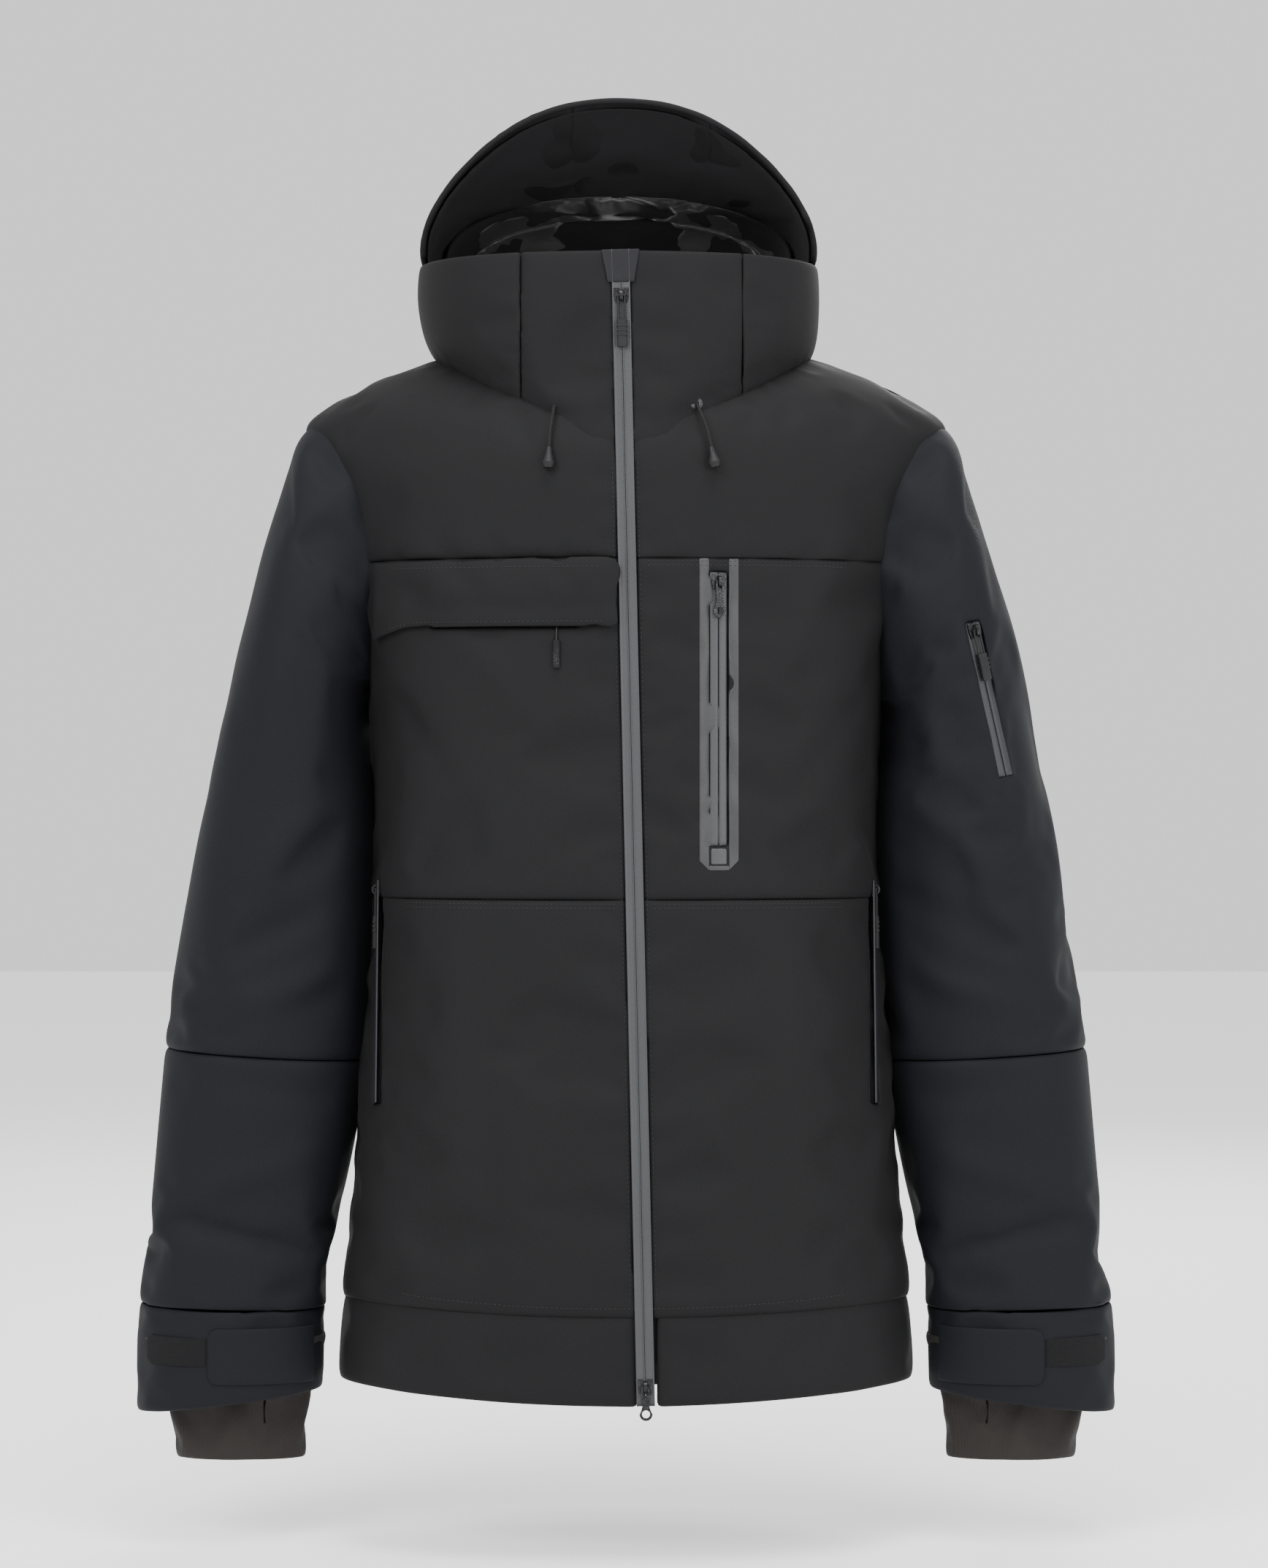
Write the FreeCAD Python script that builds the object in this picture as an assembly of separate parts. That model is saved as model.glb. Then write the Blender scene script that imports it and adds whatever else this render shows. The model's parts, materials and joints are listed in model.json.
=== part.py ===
"""Insulated hooded ski jacket, hung as if worn, in millimetres.

Frame: the origin is the shoulder rest, midway between the shoulders at the height of the neck.
+Z is up, the front faces -Y and the wearer's left is +X.  Soft layers are plain closed solids
with the true outer shape; zips, sliders, pulls, eyelets and cord ends are the real pieces.
"""
import FreeCAD, Part
import math
import os
from collections import namedtuple

V = FreeCAD.Vector
os.makedirs("parts", exist_ok=True)

# ---------------------------------------------------------------- driving dimensions
BODY_LENGTH = 696.0        # shoulder rest to the hem at the front zip
BACK_DROP = 18.0           # how much lower the hem is at the back
HEM_RISE = 14.0            # how much higher the hem is at the side seams
SHOULDER_HALF = 222.0      # centre to the shoulder point
SHOULDER_DROP = 48.0
CHEST_HALF = 178.0         # half width just under the armholes
CHEST_DROP = 212.0
WAIST_HALF = 171.0
WAIST_DROP = 345.0
HEM_HALF = 197.0
BACK_CHEST = 112.0         # depth of the back behind the origin
BACK_WAIST = 104.0
BACK_HEM = 118.0
FRONT_TOP = 110.0          # zip line in front of the origin, at the collar's top
FRONT_HEM = 124.0          # and at the hem
BODY_POWER = 2.4           # roundness of the body's level outline, 2 is an ellipse

OUTLINE_CORNERS = 24       # facets round a soft form

SHELL_WALL = 3.5           # shell fabric with its insulation
LINING_WALL = 1.0
LINING_GAP = 5.0           # room between shell and lining for the pocket bags
BAG_WALL = 1.2
MOVE_GAP = 0.4             # clearance between pieces that move on each other

COLLAR_TOP = 66.0
COLLAR_HALF = 136.0
COLLAR_BACK = 96.0
NECK_SEAM = 64.0           # drop of the collar seam at the front
COLLAR_SEAM_RIGHT = -70.0  # upright seams each side of the chin
COLLAR_SEAM_LEFT = 78.0
INNER_COLLAR_WALL = 2.2
NECK_FACING_TOP = 111.0

HOOD_SHIFT = -5.0          # the hood hangs a little to the wearer's right
HOOD_TOP = 176.0
HOOD_HALF = 135.0
HOOD_LEVEL = 75.0          # height of the hood's widest line
BRIM_Y = -50.0             # brim edge at the top, in front of the origin
CORNER_Y = -5.0            # brim edge where it meets the collar
HOOD_SEAM_RIGHT = -36.0
HOOD_SEAM_LEFT = 57.0
BRIM_BAND = 55.0           # depth of the shell-fabric facing inside the brim
HOOD_PLAY = 2.2            # room for the hood to tilt round the neck facing
HOOD_PIVOT_Y = 99.0
HOOD_PIVOT_Z = 20.0

CHEST_SEAM = 137.0         # drops of the level seams
WAIST_SEAM = 363.0
HEM_BAND = 59.0            # height of the hem band below the fold
FOLD_PROUD = 1.6           # how far the lower front stands out over the hem band
SIDE_SEAM_Y = 4.0
BACK_YOKE = 165.0

SLEEVE_DROP = 712.0        # shoulder rest to the cuff's outer corner
CUFF_SLANT = 15.0          # the cuff's inner corner is this much higher
CUFF_HEIGHT = 73.0
ELBOW_DROP = 470.0
ELBOW_HALF = 66.0
CUFF_HALF = 63.5
SLEEVE_WALL = 3.5
SHOULDER_PIVOT = (224.0, -46.0)
ARMHOLE_EASE = (0.0, 3.0, 6.0, 9.0, 13.0)  # lifts at which the sleeve's cap is cut clear of the body
TAB_LENGTH = 74.0
TAB_HEIGHT = 38.0
TAB_WALL = 1.8
LOOP_PAD_LENGTH = 42.0
LOOP_PAD_HEIGHT = 20.0
LOOP_PAD_WALL = 1.0
GAITER_SHOW = 32.0         # how far the wrist gaiter shows below the cuff
GAITER_TUCK = 52.0         # how far up inside the cuff it is sewn
GAITER_HALF = 46.0
GAITER_DEPTH = 24.0
GAITER_WALL = 1.6
THUMB_SLIT = 18.0

ZIP_TOP_X = -3.6           # the zip leans: it is right of centre at the top
ZIP_HEM_X = 13.3           # and left of centre at the hem
ZIP_HALF = 5.4             # from a zip's centre line to the shell's edge
SLOT_HALF = 1.5            # half the slot that the slider's neck runs in
TAPE_SINK = 0.4
TAPE_WALL = 1.0
COIL_WIDTH = 2.2
COIL_WALL = 1.4
PLATE_WALL = 1.1           # slider plates
FLANGE_WALL = 0.8
SLIDER_LENGTH = 10.0
BRIDGE_WIDTH = 2.0
BRIDGE_WALL = 1.1
BRIDGE_RISE = 2.9          # clear height under the bridge
PULL_WALL = 1.3
PULL_CORD_R = 0.8
GARAGE_HALF = 13.0         # half width of the zip garage at the collar's edge
GARAGE_DEPTH = 28.0
GARAGE_WALL = 1.0
WIND_FLAP_HALF = 18.0
WIND_FLAP_WALL = 1.2
GRIP = (34.0, 18.0, 4.5, 3.0)          # a cord pull: whole length, grip length, width, wall
HAND_GRIP = (40.0, 22.0, 4.5, 3.0)
GRIP_BEVEL = 0.7
METAL_TAB = (24.0, 9.0, 2.6)           # a metal pull: length, width, hole radius
HEM_TAB = (22.0, 8.6, 2.6)

CHEST_ZIP_X = 61.5
CHEST_ZIP_TOP = 147.0
CHEST_ZIP_LENGTH = 180.0
FRAME_HALF = 13.0
FRAME_BAND = 6.4
FRAME_TOP = 137.5
FRAME_LENGTH = 206.0
FRAME_WALL = 0.5
PATCH_SIZE = 10.6
FLAP_X0, FLAP_X1 = -166.0, -6.0        # outer and inner ends of the chest flap
FLAP_HEIGHT = 44.0
FLAP_STANDOFF = 4.2
FLAP_WALL = 1.8
FLAP_ZIP_DROP = 176.0
FLAP_ZIP_X0, FLAP_ZIP_X1 = -130.0, -32.0
FLAP_SLIDER_X = -45.0
FLAP_ZIP_SINK = 2.0
FLAP_PULL_LEAN = 4.4       # how far the pull leans out to hang in front of the chest
HAND_ZIP_TOP = 352.0
HAND_ZIP_LENGTH = 150.0
HAND_BEARING = (78.0, 72.0)            # where the hand zip's ends lie round the body
SLEEVE_ZIP = (178.0, 8.0, 281.0, 28.0)  # drop and bearing of its top and bottom
SLEEVE_ZIP_AXIS = (222.0, 2.0)
BAG_MARGIN = 16.0
BAG_MOUTH = 14.0           # depth behind a zip that its bag's mouth leaves free

CORD_D = 2.2
EYELET_X = 47.0
EYELET_Z = -35.0
EYELET_R = 4.0
EYELET_BORE = 1.6
CORD_END_LENGTH = 14.0
CORD_END_WIDTH = 9.0

Station = namedtuple("Station", "level half low high mid power centre")


# ---------------------------------------------------------------- small helpers
def box(x0, x1, y0, y1, z0, z1):
    return Part.makeBox(x1 - x0, y1 - y0, z1 - z0, V(x0, y0, z0))


def polygon(points):
    return Part.Face(Part.makePolygon([V(*p) for p in points + points[:1]]))


def prism_xz(outline, y0, y1):
    """Outline of (x, z) corners pushed along Y."""
    return polygon([(x, y0, z) for x, z in outline]).extrude(V(0, y1 - y0, 0))


def prism_yz(outline, x0, x1):
    return polygon([(x0, y, z) for y, z in outline]).extrude(V(x1 - x0, 0, 0))


def closed_outline(points):
    return Part.makePolygon(points + points[:1])


def superellipse(power, count=OUTLINE_CORNERS):
    """Corners of a unit superellipse, starting on +u."""
    for i in range(count):
        c = math.cos(2 * math.pi * i / count)
        s = math.sin(2 * math.pi * i / count)
        yield (math.copysign(abs(c) ** (2 / power), c), math.copysign(abs(s) ** (2 / power), s))


def level_outline(st):
    """A level section: low and high are its front and back, each with its own depth."""
    points = []
    for u, v in superellipse(st.power):
        reach = st.high - st.mid if v > 0 else st.mid - st.low
        points.append(V(st.centre + st.half * u, st.mid + reach * v, st.level))
    return closed_outline(points)


def upright_outline(st):
    """A section across the hood: low and high are its floor and its crown."""
    points = []
    for u, v in superellipse(st.power):
        reach = st.high - st.mid if v > 0 else st.mid - st.low
        points.append(V(st.centre + st.half * u, st.level, st.mid + reach * v))
    return closed_outline(points)


def loft(outlines):
    """A closed form through outlines with equally many corners.  Cloth bends in one direction at a
    time, so each cell between four corners is folded along its short diagonal into flat facets."""
    rings = [[v.Point for v in outline.OrderedVertexes] for outline in outlines]
    faces = [Part.Face(outlines[0]), Part.Face(outlines[-1])]
    for low, high in zip(rings, rings[1:]):
        for i, corner in enumerate(low):
            after = (i + 1) % len(low)
            cell = [corner, low[after], high[after], high[i]]
            if cell[0].distanceToPoint(cell[2]) > cell[1].distanceToPoint(cell[3]):
                cell = cell[1:] + cell[:1]
            faces.append(polygon(cell[:3]))
            faces.append(polygon([cell[0], cell[2], cell[3]]))
    return Part.Solid(Part.Shell(faces))


def export(name, shape):
    shape.exportStep("parts/%s.step" % name)


def export_group(name, shapes):
    """Pieces of one kind, or sewn together, that share a node as separate solids."""
    export(name, Part.makeCompound(shapes))


def biggest(shape):
    return max(shape.Solids, key=lambda s: s.Volume)


BIG = 1200.0


# ---------------------------------------------------------------- body form
def front_line(z):
    """The centre front is straight, so that the zip's sliders can run on it."""
    share = (COLLAR_TOP - z) / (COLLAR_TOP + BODY_LENGTH)
    return -(FRONT_TOP + (FRONT_HEM - FRONT_TOP) * share)


def body_stations(offset):
    under = BODY_LENGTH + BACK_DROP + 30.0
    rows = [
        (-under, HEM_HALF + 1.0, front_line(-under), BACK_HEM, BODY_POWER),
        (-BODY_LENGTH, HEM_HALF, front_line(-BODY_LENGTH), BACK_HEM, BODY_POWER),
        (-(BODY_LENGTH + WAIST_DROP) / 2, (HEM_HALF + WAIST_HALF) / 2 - 2.0,
         front_line(-(BODY_LENGTH + WAIST_DROP) / 2), (BACK_HEM + BACK_WAIST) / 2, BODY_POWER),
        (-WAIST_DROP, WAIST_HALF, front_line(-WAIST_DROP), BACK_WAIST, BODY_POWER),
        (-CHEST_DROP, CHEST_HALF, front_line(-CHEST_DROP), BACK_CHEST, BODY_POWER),
        (-(CHEST_DROP + SHOULDER_DROP) / 2, (CHEST_HALF + SHOULDER_HALF) / 2 - 6.0,
         front_line(-(CHEST_DROP + SHOULDER_DROP) / 2), BACK_CHEST, 2.1),
        (-SHOULDER_DROP - 16.0, SHOULDER_HALF - 8.0, front_line(-NECK_SEAM), BACK_CHEST - 6.0, 1.85),
        (-SHOULDER_DROP + 4.0, SHOULDER_HALF - 3.0, -FRONT_TOP + 2.0, BACK_CHEST - 13.0, 1.75),
        (-SHOULDER_DROP + 18.0, SHOULDER_HALF - 18.0, -FRONT_TOP + 12.0, BACK_CHEST - 22.0, 1.7),
        (-15.0, SHOULDER_HALF - 44.0, -FRONT_TOP + 26.0, BACK_CHEST - 32.0, 1.7),
        (0.0, SHOULDER_HALF - 84.0, -FRONT_TOP + 42.0, BACK_CHEST - 42.0, 1.8),
        (10.0, SHOULDER_HALF - 120.0, -FRONT_TOP + 56.0, BACK_CHEST - 54.0, 2.0),
    ]
    top = rows[-1][0]
    for z, half, front, back, power in rows:
        level = z + offset if z == top else z
        yield Station(level, half + offset, front - offset, back + offset, 0.0, power, 0.0)


_forms = {}


def kept(maker, offset):
    """Each form is lofted once per offset."""
    key = (maker.__name__, offset)
    if key not in _forms:
        _forms[key] = maker(offset)
    return _forms[key]


def body_form(offset):
    return loft([level_outline(st) for st in body_stations(offset)])


# ---------------------------------------------------------------- collar and hood forms
def collar_stations(offset):
    rows = [
        (-NECK_SEAM - 30.0, 66.0, front_line(-NECK_SEAM) + 34.0, 40.0, 0.0),
        (-NECK_SEAM, 88.0, front_line(-NECK_SEAM), 62.0, 0.0),
        (-40.0, 101.0, front_line(-40.0), 73.0, 0.0),
        (-15.0, 117.0, front_line(-15.0), 85.0, -1.0),
        (10.0, COLLAR_HALF - 5.0, front_line(10.0), COLLAR_BACK - 4.0, -3.0),
        (40.0, COLLAR_HALF, front_line(40.0), COLLAR_BACK, HOOD_SHIFT),
        (COLLAR_TOP + 4.0, COLLAR_HALF - 1.0, front_line(COLLAR_TOP + 4.0), COLLAR_BACK, HOOD_SHIFT),
        (COLLAR_TOP + 30.0, COLLAR_HALF - 1.0, front_line(COLLAR_TOP + 30.0), COLLAR_BACK, HOOD_SHIFT),
    ]
    for z, half, front, back, centre in rows:
        yield Station(z, half + offset, front - offset, back + offset, CORNER_Y, 2.2, centre)


def collar_form(offset):
    return loft([level_outline(st) for st in collar_stations(offset)])


def hood_stations(offset):
    """Across the hood from in front of the brim to the back: place, half width, crown height."""
    rows = [
        (BRIM_Y - 22.0, HOOD_HALF, HOOD_TOP + 12.0, 0.0),
        (BRIM_Y, HOOD_HALF, HOOD_TOP, 0.0),
        (BRIM_Y + 20.0, HOOD_HALF, HOOD_TOP - 18.0, 0.0),
        (CORNER_Y, HOOD_HALF, HOOD_TOP - 40.0, 0.0),
        (40.0, HOOD_HALF - 12.0, HOOD_TOP - 54.0, 0.0),
        (COLLAR_BACK - 21.0, HOOD_HALF - 45.0, HOOD_TOP - 67.0, 0.6),
        (COLLAR_BACK - 6.0, HOOD_HALF - 84.0, HOOD_TOP - 80.0, 1.0),
        (COLLAR_BACK, HOOD_HALF - 112.0, HOOD_TOP - 92.0, 1.0),
    ]
    for y, half, crown, share in rows:
        floor = HOOD_LEVEL - 90.0 if share == 0.0 else HOOD_LEVEL - 70.0
        yield Station(y + offset * share, half + offset, floor - offset, crown + offset,
                      HOOD_LEVEL - 12.0 * share, 2.2, HOOD_SHIFT)


def hood_form(offset):
    return loft([upright_outline(st) for st in hood_stations(offset)])


def above_parting():
    """Everything above the plane through the hood's pivot that rises to the collar's top corner."""
    rise = (COLLAR_TOP - HOOD_PIVOT_Z) / (HOOD_PIVOT_Y - CORNER_Y)
    front_z = HOOD_PIVOT_Z + rise * (HOOD_PIVOT_Y + BIG / 2)
    back_z = HOOD_PIVOT_Z - rise * (BIG / 2 - HOOD_PIVOT_Y)
    return prism_yz([(-BIG / 2, front_z), (BIG / 2, back_z), (BIG / 2, BIG), (-BIG / 2, BIG)],
                    -BIG / 2, BIG / 2)


def behind_opening(shift):
    """Everything behind the face opening, moved back by shift."""
    lean = (BRIM_Y - CORNER_Y) / (HOOD_TOP - COLLAR_TOP)
    low, high = -BIG / 2, BIG / 2
    return prism_yz([(CORNER_Y + lean * (low - COLLAR_TOP) + shift, low), (BIG, low), (BIG, high),
                     (CORNER_Y + lean * (high - COLLAR_TOP) + shift, high)], -BIG / 2, BIG / 2)


# ---------------------------------------------------------------- sleeve form
def sleeve_rows():
    """The left sleeve's sections: outer corner, inner corner (X, Z), depth in Y and its middle."""
    end_out, end_in = -SLEEVE_DROP, -SLEEVE_DROP + CUFF_SLANT
    cuff_out, cuff_in = end_out + CUFF_HEIGHT, end_in + CUFF_HEIGHT - 12.0
    upper = [
        (198.0, -30.0, 146.0, -174.0, 56.0, 4.0),
        (SHOULDER_HALF + 1.5, -50.0, 160.0, -194.0, 68.0, 4.0),
        (241.0, -95.0, 169.0, -210.0, 75.0, 3.0),
        (260.5, -168.0, CHEST_HALF - 1.0, -229.0, 76.0, 2.0),
        (276.0, -238.0, CHEST_HALF + 0.5, -260.0, 73.0, 2.0),
        (292.0, -322.0, WAIST_HALF + 5.0, -324.0, 69.0, 3.0),
        (313.5, -ELBOW_DROP + 4.0, 313.5 - 2 * ELBOW_HALF, -ELBOW_DROP - 4.0, 63.0, 5.0),
    ]
    lower = [
        upper[-1],
        (325.0, (-ELBOW_DROP + cuff_out) / 2 - 25.0, 195.5, (-ELBOW_DROP + cuff_in) / 2 - 25.0, 56.0, -2.0),
        (331.5, cuff_out, 331.5 - 2 * CUFF_HALF, cuff_in, 51.0, -8.0),
        (333.5, end_out, 333.5 - 2 * CUFF_HALF, end_in, 47.0, -13.0),
        (334.0, end_out - 30.0, 334.0 - 2 * CUFF_HALF, end_in - 30.0, 46.0, -14.0),
    ]
    return upper, lower


def sleeve_outline(row, offset):
    x_out, z_out, x_in, z_in, depth, y_mid = row
    half = math.hypot(x_out - x_in, z_out - z_in) / 2
    along = V(x_out - x_in, 0, z_out - z_in).normalize()
    middle = V((x_out + x_in) / 2, y_mid, (z_out + z_in) / 2)
    points = []
    for u, v in superellipse(2.1):
        points.append(middle + along * (u * (half + offset)) + V(0, v * (depth + offset), 0))
    return closed_outline(points)


def upper_sleeve_form(offset):
    return loft([sleeve_outline(row, offset) for row in sleeve_rows()[0]])


def lower_sleeve_form(offset):
    return loft([sleeve_outline(row, offset) for row in sleeve_rows()[1]])


# ---------------------------------------------------------------- places on a curved skin
def skin_point(form, z, bearing, axis=(0.0, 0.0)):
    """Where a level ray leaves a form; bearing 0 looks to the front and 90 to the wearer's left."""
    turn = math.radians(bearing)
    start = V(axis[0], axis[1], z)
    ray = Part.makeLine(start, start + V(math.sin(turn), -math.cos(turn), 0) * BIG)
    inside = ray.common(form)
    return max((v.Point for v in inside.Vertexes), key=lambda p: p.distanceToPoint(start))


def front_point(form, x, z):
    """Where the front of a form is at (x, z)."""
    inside = Part.makeLine(V(x, -BIG / 2, z), V(x, 0, z)).common(form)
    return min((v.Point for v in inside.Vertexes), key=lambda p: p.y)


def zip_frame(top, bottom, outward):
    """A frame at the zip's top: +Z runs up the zip, -Y points out of the garment."""
    up = (top - bottom).normalize()
    inward = (outward * -1).normalize()
    across = inward.cross(up).normalize()
    return FreeCAD.Placement(top, FreeCAD.Rotation(across, inward, up, "ZXY"))


def placed(shape, frame):
    moved = shape.copy()
    moved.Placement = frame.multiply(moved.Placement)
    return moved


def mirrored(shape):
    return shape.mirror(V(0, 0, 0), V(1, 0, 0))


def skin_patch(maker, prism, low, high):
    """The part of the layer between two offsets of a form that lies in a prism."""
    return kept(maker, high).common(prism).cut(kept(maker, low))


# ---------------------------------------------------------------- zips
def tape(side, length, half):
    x0, x1 = sorted((side * SLOT_HALF, side * half))
    return box(x0, x1, TAPE_SINK, TAPE_SINK + TAPE_WALL, -length, 0)


def coil(side, length):
    x0, x1 = sorted((side * SLOT_HALF, side * (SLOT_HALF + COIL_WIDTH)))
    back = TAPE_SINK + TAPE_WALL
    return box(x0, x1, back, back + COIL_WALL, -length, 0)


def shield(half_top, half_end, length, y0, y1):
    """A slider plate: square shoulders at the mouth that taper in a curve to the tail."""
    shoulder = 0.36 * length
    top, tail = length / 2, -length / 2
    right = [V(half_top, y0, top), V(half_top, y0, top - shoulder)]
    left = [V(-half_top, y0, top - shoulder), V(-half_top, y0, top)]
    waist = (half_top + half_end) / 2 + 0.25
    edges = [Part.LineSegment(left[1], right[0]).toShape(),
             Part.LineSegment(right[0], right[1]).toShape(),
             Part.Arc(right[1], V(waist, y0, top - shoulder - 0.3 * length), V(half_end, y0, tail)).toShape(),
             Part.LineSegment(V(half_end, y0, tail), V(-half_end, y0, tail)).toShape(),
             Part.Arc(V(-half_end, y0, tail), V(-waist, y0, top - shoulder - 0.3 * length),
                      left[0]).toShape(),
             Part.LineSegment(left[0], left[1]).toShape()]
    return Part.Face(Part.Wire(edges)).extrude(V(0, y1 - y0, 0))


def slider():
    """A coil zip's slider about its own middle: two shields, the wedge between them, the flanges
    that hold the coils from the sides, and the bridge that carries the pull."""
    front_back = TAPE_SINK - MOVE_GAP
    coil_back = TAPE_SINK + TAPE_WALL + COIL_WALL
    rear_front = coil_back + MOVE_GAP
    rear_back = rear_front + PLATE_WALL
    inner = SLOT_HALF + COIL_WIDTH + MOVE_GAP
    outer = inner + FLANGE_WALL
    front = shield(outer, outer - 1.0, SLIDER_LENGTH, front_back - PLATE_WALL, front_back)
    rear = shield(outer, outer - 0.3, SLIDER_LENGTH, rear_front, rear_back)
    neck = SLOT_HALF - MOVE_GAP
    top, mouth = SLIDER_LENGTH / 2, SLIDER_LENGTH / 2 - 4.2
    wedge = polygon([(-neck, front_back - 0.2, top - 0.4), (neck, front_back - 0.2, top - 0.4),
                     (0.35, front_back - 0.2, mouth), (-0.35, front_back - 0.2, mouth)])
    wedge = wedge.extrude(V(0, rear_front - front_back + 0.4, 0))
    body = front.fuse([rear, wedge])
    for side in (-1, 1):
        x0, x1 = sorted((side * inner, side * outer))
        flange = box(x0, x1, TAPE_SINK + TAPE_WALL + MOVE_GAP, rear_front + 0.2,
                     -SLIDER_LENGTH / 2 + 0.5, SLIDER_LENGTH / 2 - 3.0)
        body = body.fuse(flange)
    return body.fuse(bridge(front_back - PLATE_WALL)).removeSplitter()


def bridge(face):
    """The arch over the front shield, with its feet sunk into it."""
    reach = SLIDER_LENGTH / 2 - 1.2
    rise = BRIDGE_RISE + BRIDGE_WALL
    outer = Part.Arc(V(-BRIDGE_WIDTH / 2, face, -reach), V(-BRIDGE_WIDTH / 2, face - rise, 0.0),
                     V(-BRIDGE_WIDTH / 2, face, reach)).toShape()
    inner = Part.Arc(V(-BRIDGE_WIDTH / 2, face, reach - BRIDGE_WALL),
                     V(-BRIDGE_WIDTH / 2, face - BRIDGE_RISE, 0.0),
                     V(-BRIDGE_WIDTH / 2, face, -reach + BRIDGE_WALL)).toShape()
    foot = 0.3
    corners = [V(-BRIDGE_WIDTH / 2, face, reach), V(-BRIDGE_WIDTH / 2, face + foot, reach),
               V(-BRIDGE_WIDTH / 2, face + foot, reach - BRIDGE_WALL),
               V(-BRIDGE_WIDTH / 2, face, reach - BRIDGE_WALL)]
    edges = [outer] + [Part.LineSegment(a, b).toShape() for a, b in zip(corners, corners[1:])]
    edges.append(inner)
    low = [V(p.x, p.y, -p.z) for p in reversed(corners)]
    edges += [Part.LineSegment(a, b).toShape() for a, b in zip(low, low[1:])]
    return Part.Face(Part.Wire(edges)).extrude(V(BRIDGE_WIDTH, 0, 0))


def pull_pivot():
    """The pull's eye turns about this line, half way up the window under the bridge."""
    return TAPE_SINK - MOVE_GAP - PLATE_WALL - BRIDGE_RISE / 2


def metal_pull(length, width, hole):
    """An hourglass tab: an eye that the bridge passes through, a waist and a wide drilled end."""
    pivot, end = pull_pivot(), width / 2
    y0 = pivot - PULL_WALL / 2
    bar = PULL_WALL / 2
    eye_half = BRIDGE_WIDTH / 2 + MOVE_GAP
    shoulder, waist = eye_half + 1.4, end * 0.5
    eye_low = -SLIDER_LENGTH / 2 - 0.2
    swell = -length + end
    waist_z = (eye_low + swell) / 2 + 1.0
    corners = [V(-shoulder, y0, bar), V(shoulder, y0, bar), V(shoulder, y0, eye_low)]
    edges = [Part.LineSegment(a, b).toShape() for a, b in zip(corners, corners[1:])]
    edges += [Part.Arc(corners[2], V(waist, y0, waist_z), V(end, y0, swell)).toShape(),
              Part.Arc(V(end, y0, swell), V(0, y0, -length), V(-end, y0, swell)).toShape(),
              Part.Arc(V(-end, y0, swell), V(-waist, y0, waist_z), V(-shoulder, y0, eye_low)).toShape(),
              Part.LineSegment(V(-shoulder, y0, eye_low), corners[0]).toShape()]
    tab = Part.Face(Part.Wire(edges)).extrude(V(0, PULL_WALL, 0))
    drill = Part.makeCylinder(hole, PULL_WALL + 2, V(0, y0 - 1, swell), V(0, 1, 0))
    eye = box(-eye_half, eye_half, y0 - 1, y0 + PULL_WALL + 1, eye_low, -bar)
    return tab.cut([drill, eye])


def cord_pull(length, grip_length, grip_width, grip_wall):
    """A cord loop through the bridge that ends in a ribbed, moulded grip."""
    pivot = pull_pivot()
    half = BRIDGE_WIDTH / 2 + MOVE_GAP + PULL_CORD_R
    top = -length + grip_length
    reach = half + PULL_CORD_R
    cord = Part.makeCylinder(PULL_CORD_R, 2 * reach, V(-reach, pivot, 0), V(1, 0, 0))
    for x in (-half, half):
        cord = cord.fuse(Part.makeCylinder(PULL_CORD_R - 0.1, -top + 1.5, V(x, pivot, top - 1.5), V(0, 0, 1)))
    grip_half = max(grip_width / 2, half + PULL_CORD_R + 0.3)
    grip = box(-grip_half, grip_half, pivot - grip_wall / 2, pivot + grip_wall / 2, -length, top)
    grip = grip.makeChamfer(GRIP_BEVEL, [e for e in grip.Edges if abs(e.tangentAt(e.FirstParameter).z) > 0.9])
    for i in range(3):
        z = top - 4.0 - 3.0 * i
        rib = box(-grip_half - 0.3, grip_half + 0.3, pivot - grip_wall / 2 - 0.3,
                  pivot + grip_wall / 2 + 0.3, z - 0.6, z + 0.6)
        grip = grip.fuse(rib)
    return grip.fuse(cord).removeSplitter()


# ---------------------------------------------------------------- the body's soft shell
def below_arc(drop, rise, y_slope):
    """Everything under a hem line: lowest at the centre, rise higher at the sides, and lower
    towards the back by y_slope."""
    y0 = -BIG / 4
    z = -drop + y_slope * (-FRONT_HEM - y0)
    reach = HEM_HALF
    side = V(reach, y0, z + rise)
    other = V(-reach, y0, z + rise)
    arc = Part.Arc(other, V(0, y0, z), side).toShape()
    corners = [side, V(BIG / 2, y0, z + rise), V(BIG / 2, y0, z - BIG), V(-BIG / 2, y0, z - BIG),
               V(-BIG / 2, y0, z + rise), other]
    edges = [arc] + [Part.LineSegment(a, b).toShape() for a, b in zip(corners, corners[1:])]
    return Part.Face(Part.Wire(edges)).extrude(V(0, BIG / 2, -y_slope * BIG / 2))


def half_space(y0, y1, z0, z1, x0=-BIG / 2, x1=BIG / 2):
    return box(x0, x1, y0, y1, z0, z1)


HEM = below_arc(BODY_LENGTH, HEM_RISE, BACK_DROP / (FRONT_HEM + BACK_HEM))
FOLD = below_arc(BODY_LENGTH - HEM_BAND, HEM_RISE - 3.0, BACK_DROP / (FRONT_HEM + BACK_HEM))
ZIP_TOP = V(ZIP_TOP_X, front_line(COLLAR_TOP), COLLAR_TOP)
ZIP_END = V(ZIP_HEM_X, front_line(-BODY_LENGTH), -BODY_LENGTH)
MAIN_ZIP = zip_frame(ZIP_TOP, ZIP_END, V(0, -1, 0))
MAIN_LENGTH = (ZIP_TOP - ZIP_END).Length
LINING_OUT = SHELL_WALL + LINING_GAP


def main_gap(half):
    return placed(box(-half, half, -30, 40, -MAIN_LENGTH - 60, 60), MAIN_ZIP)


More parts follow.
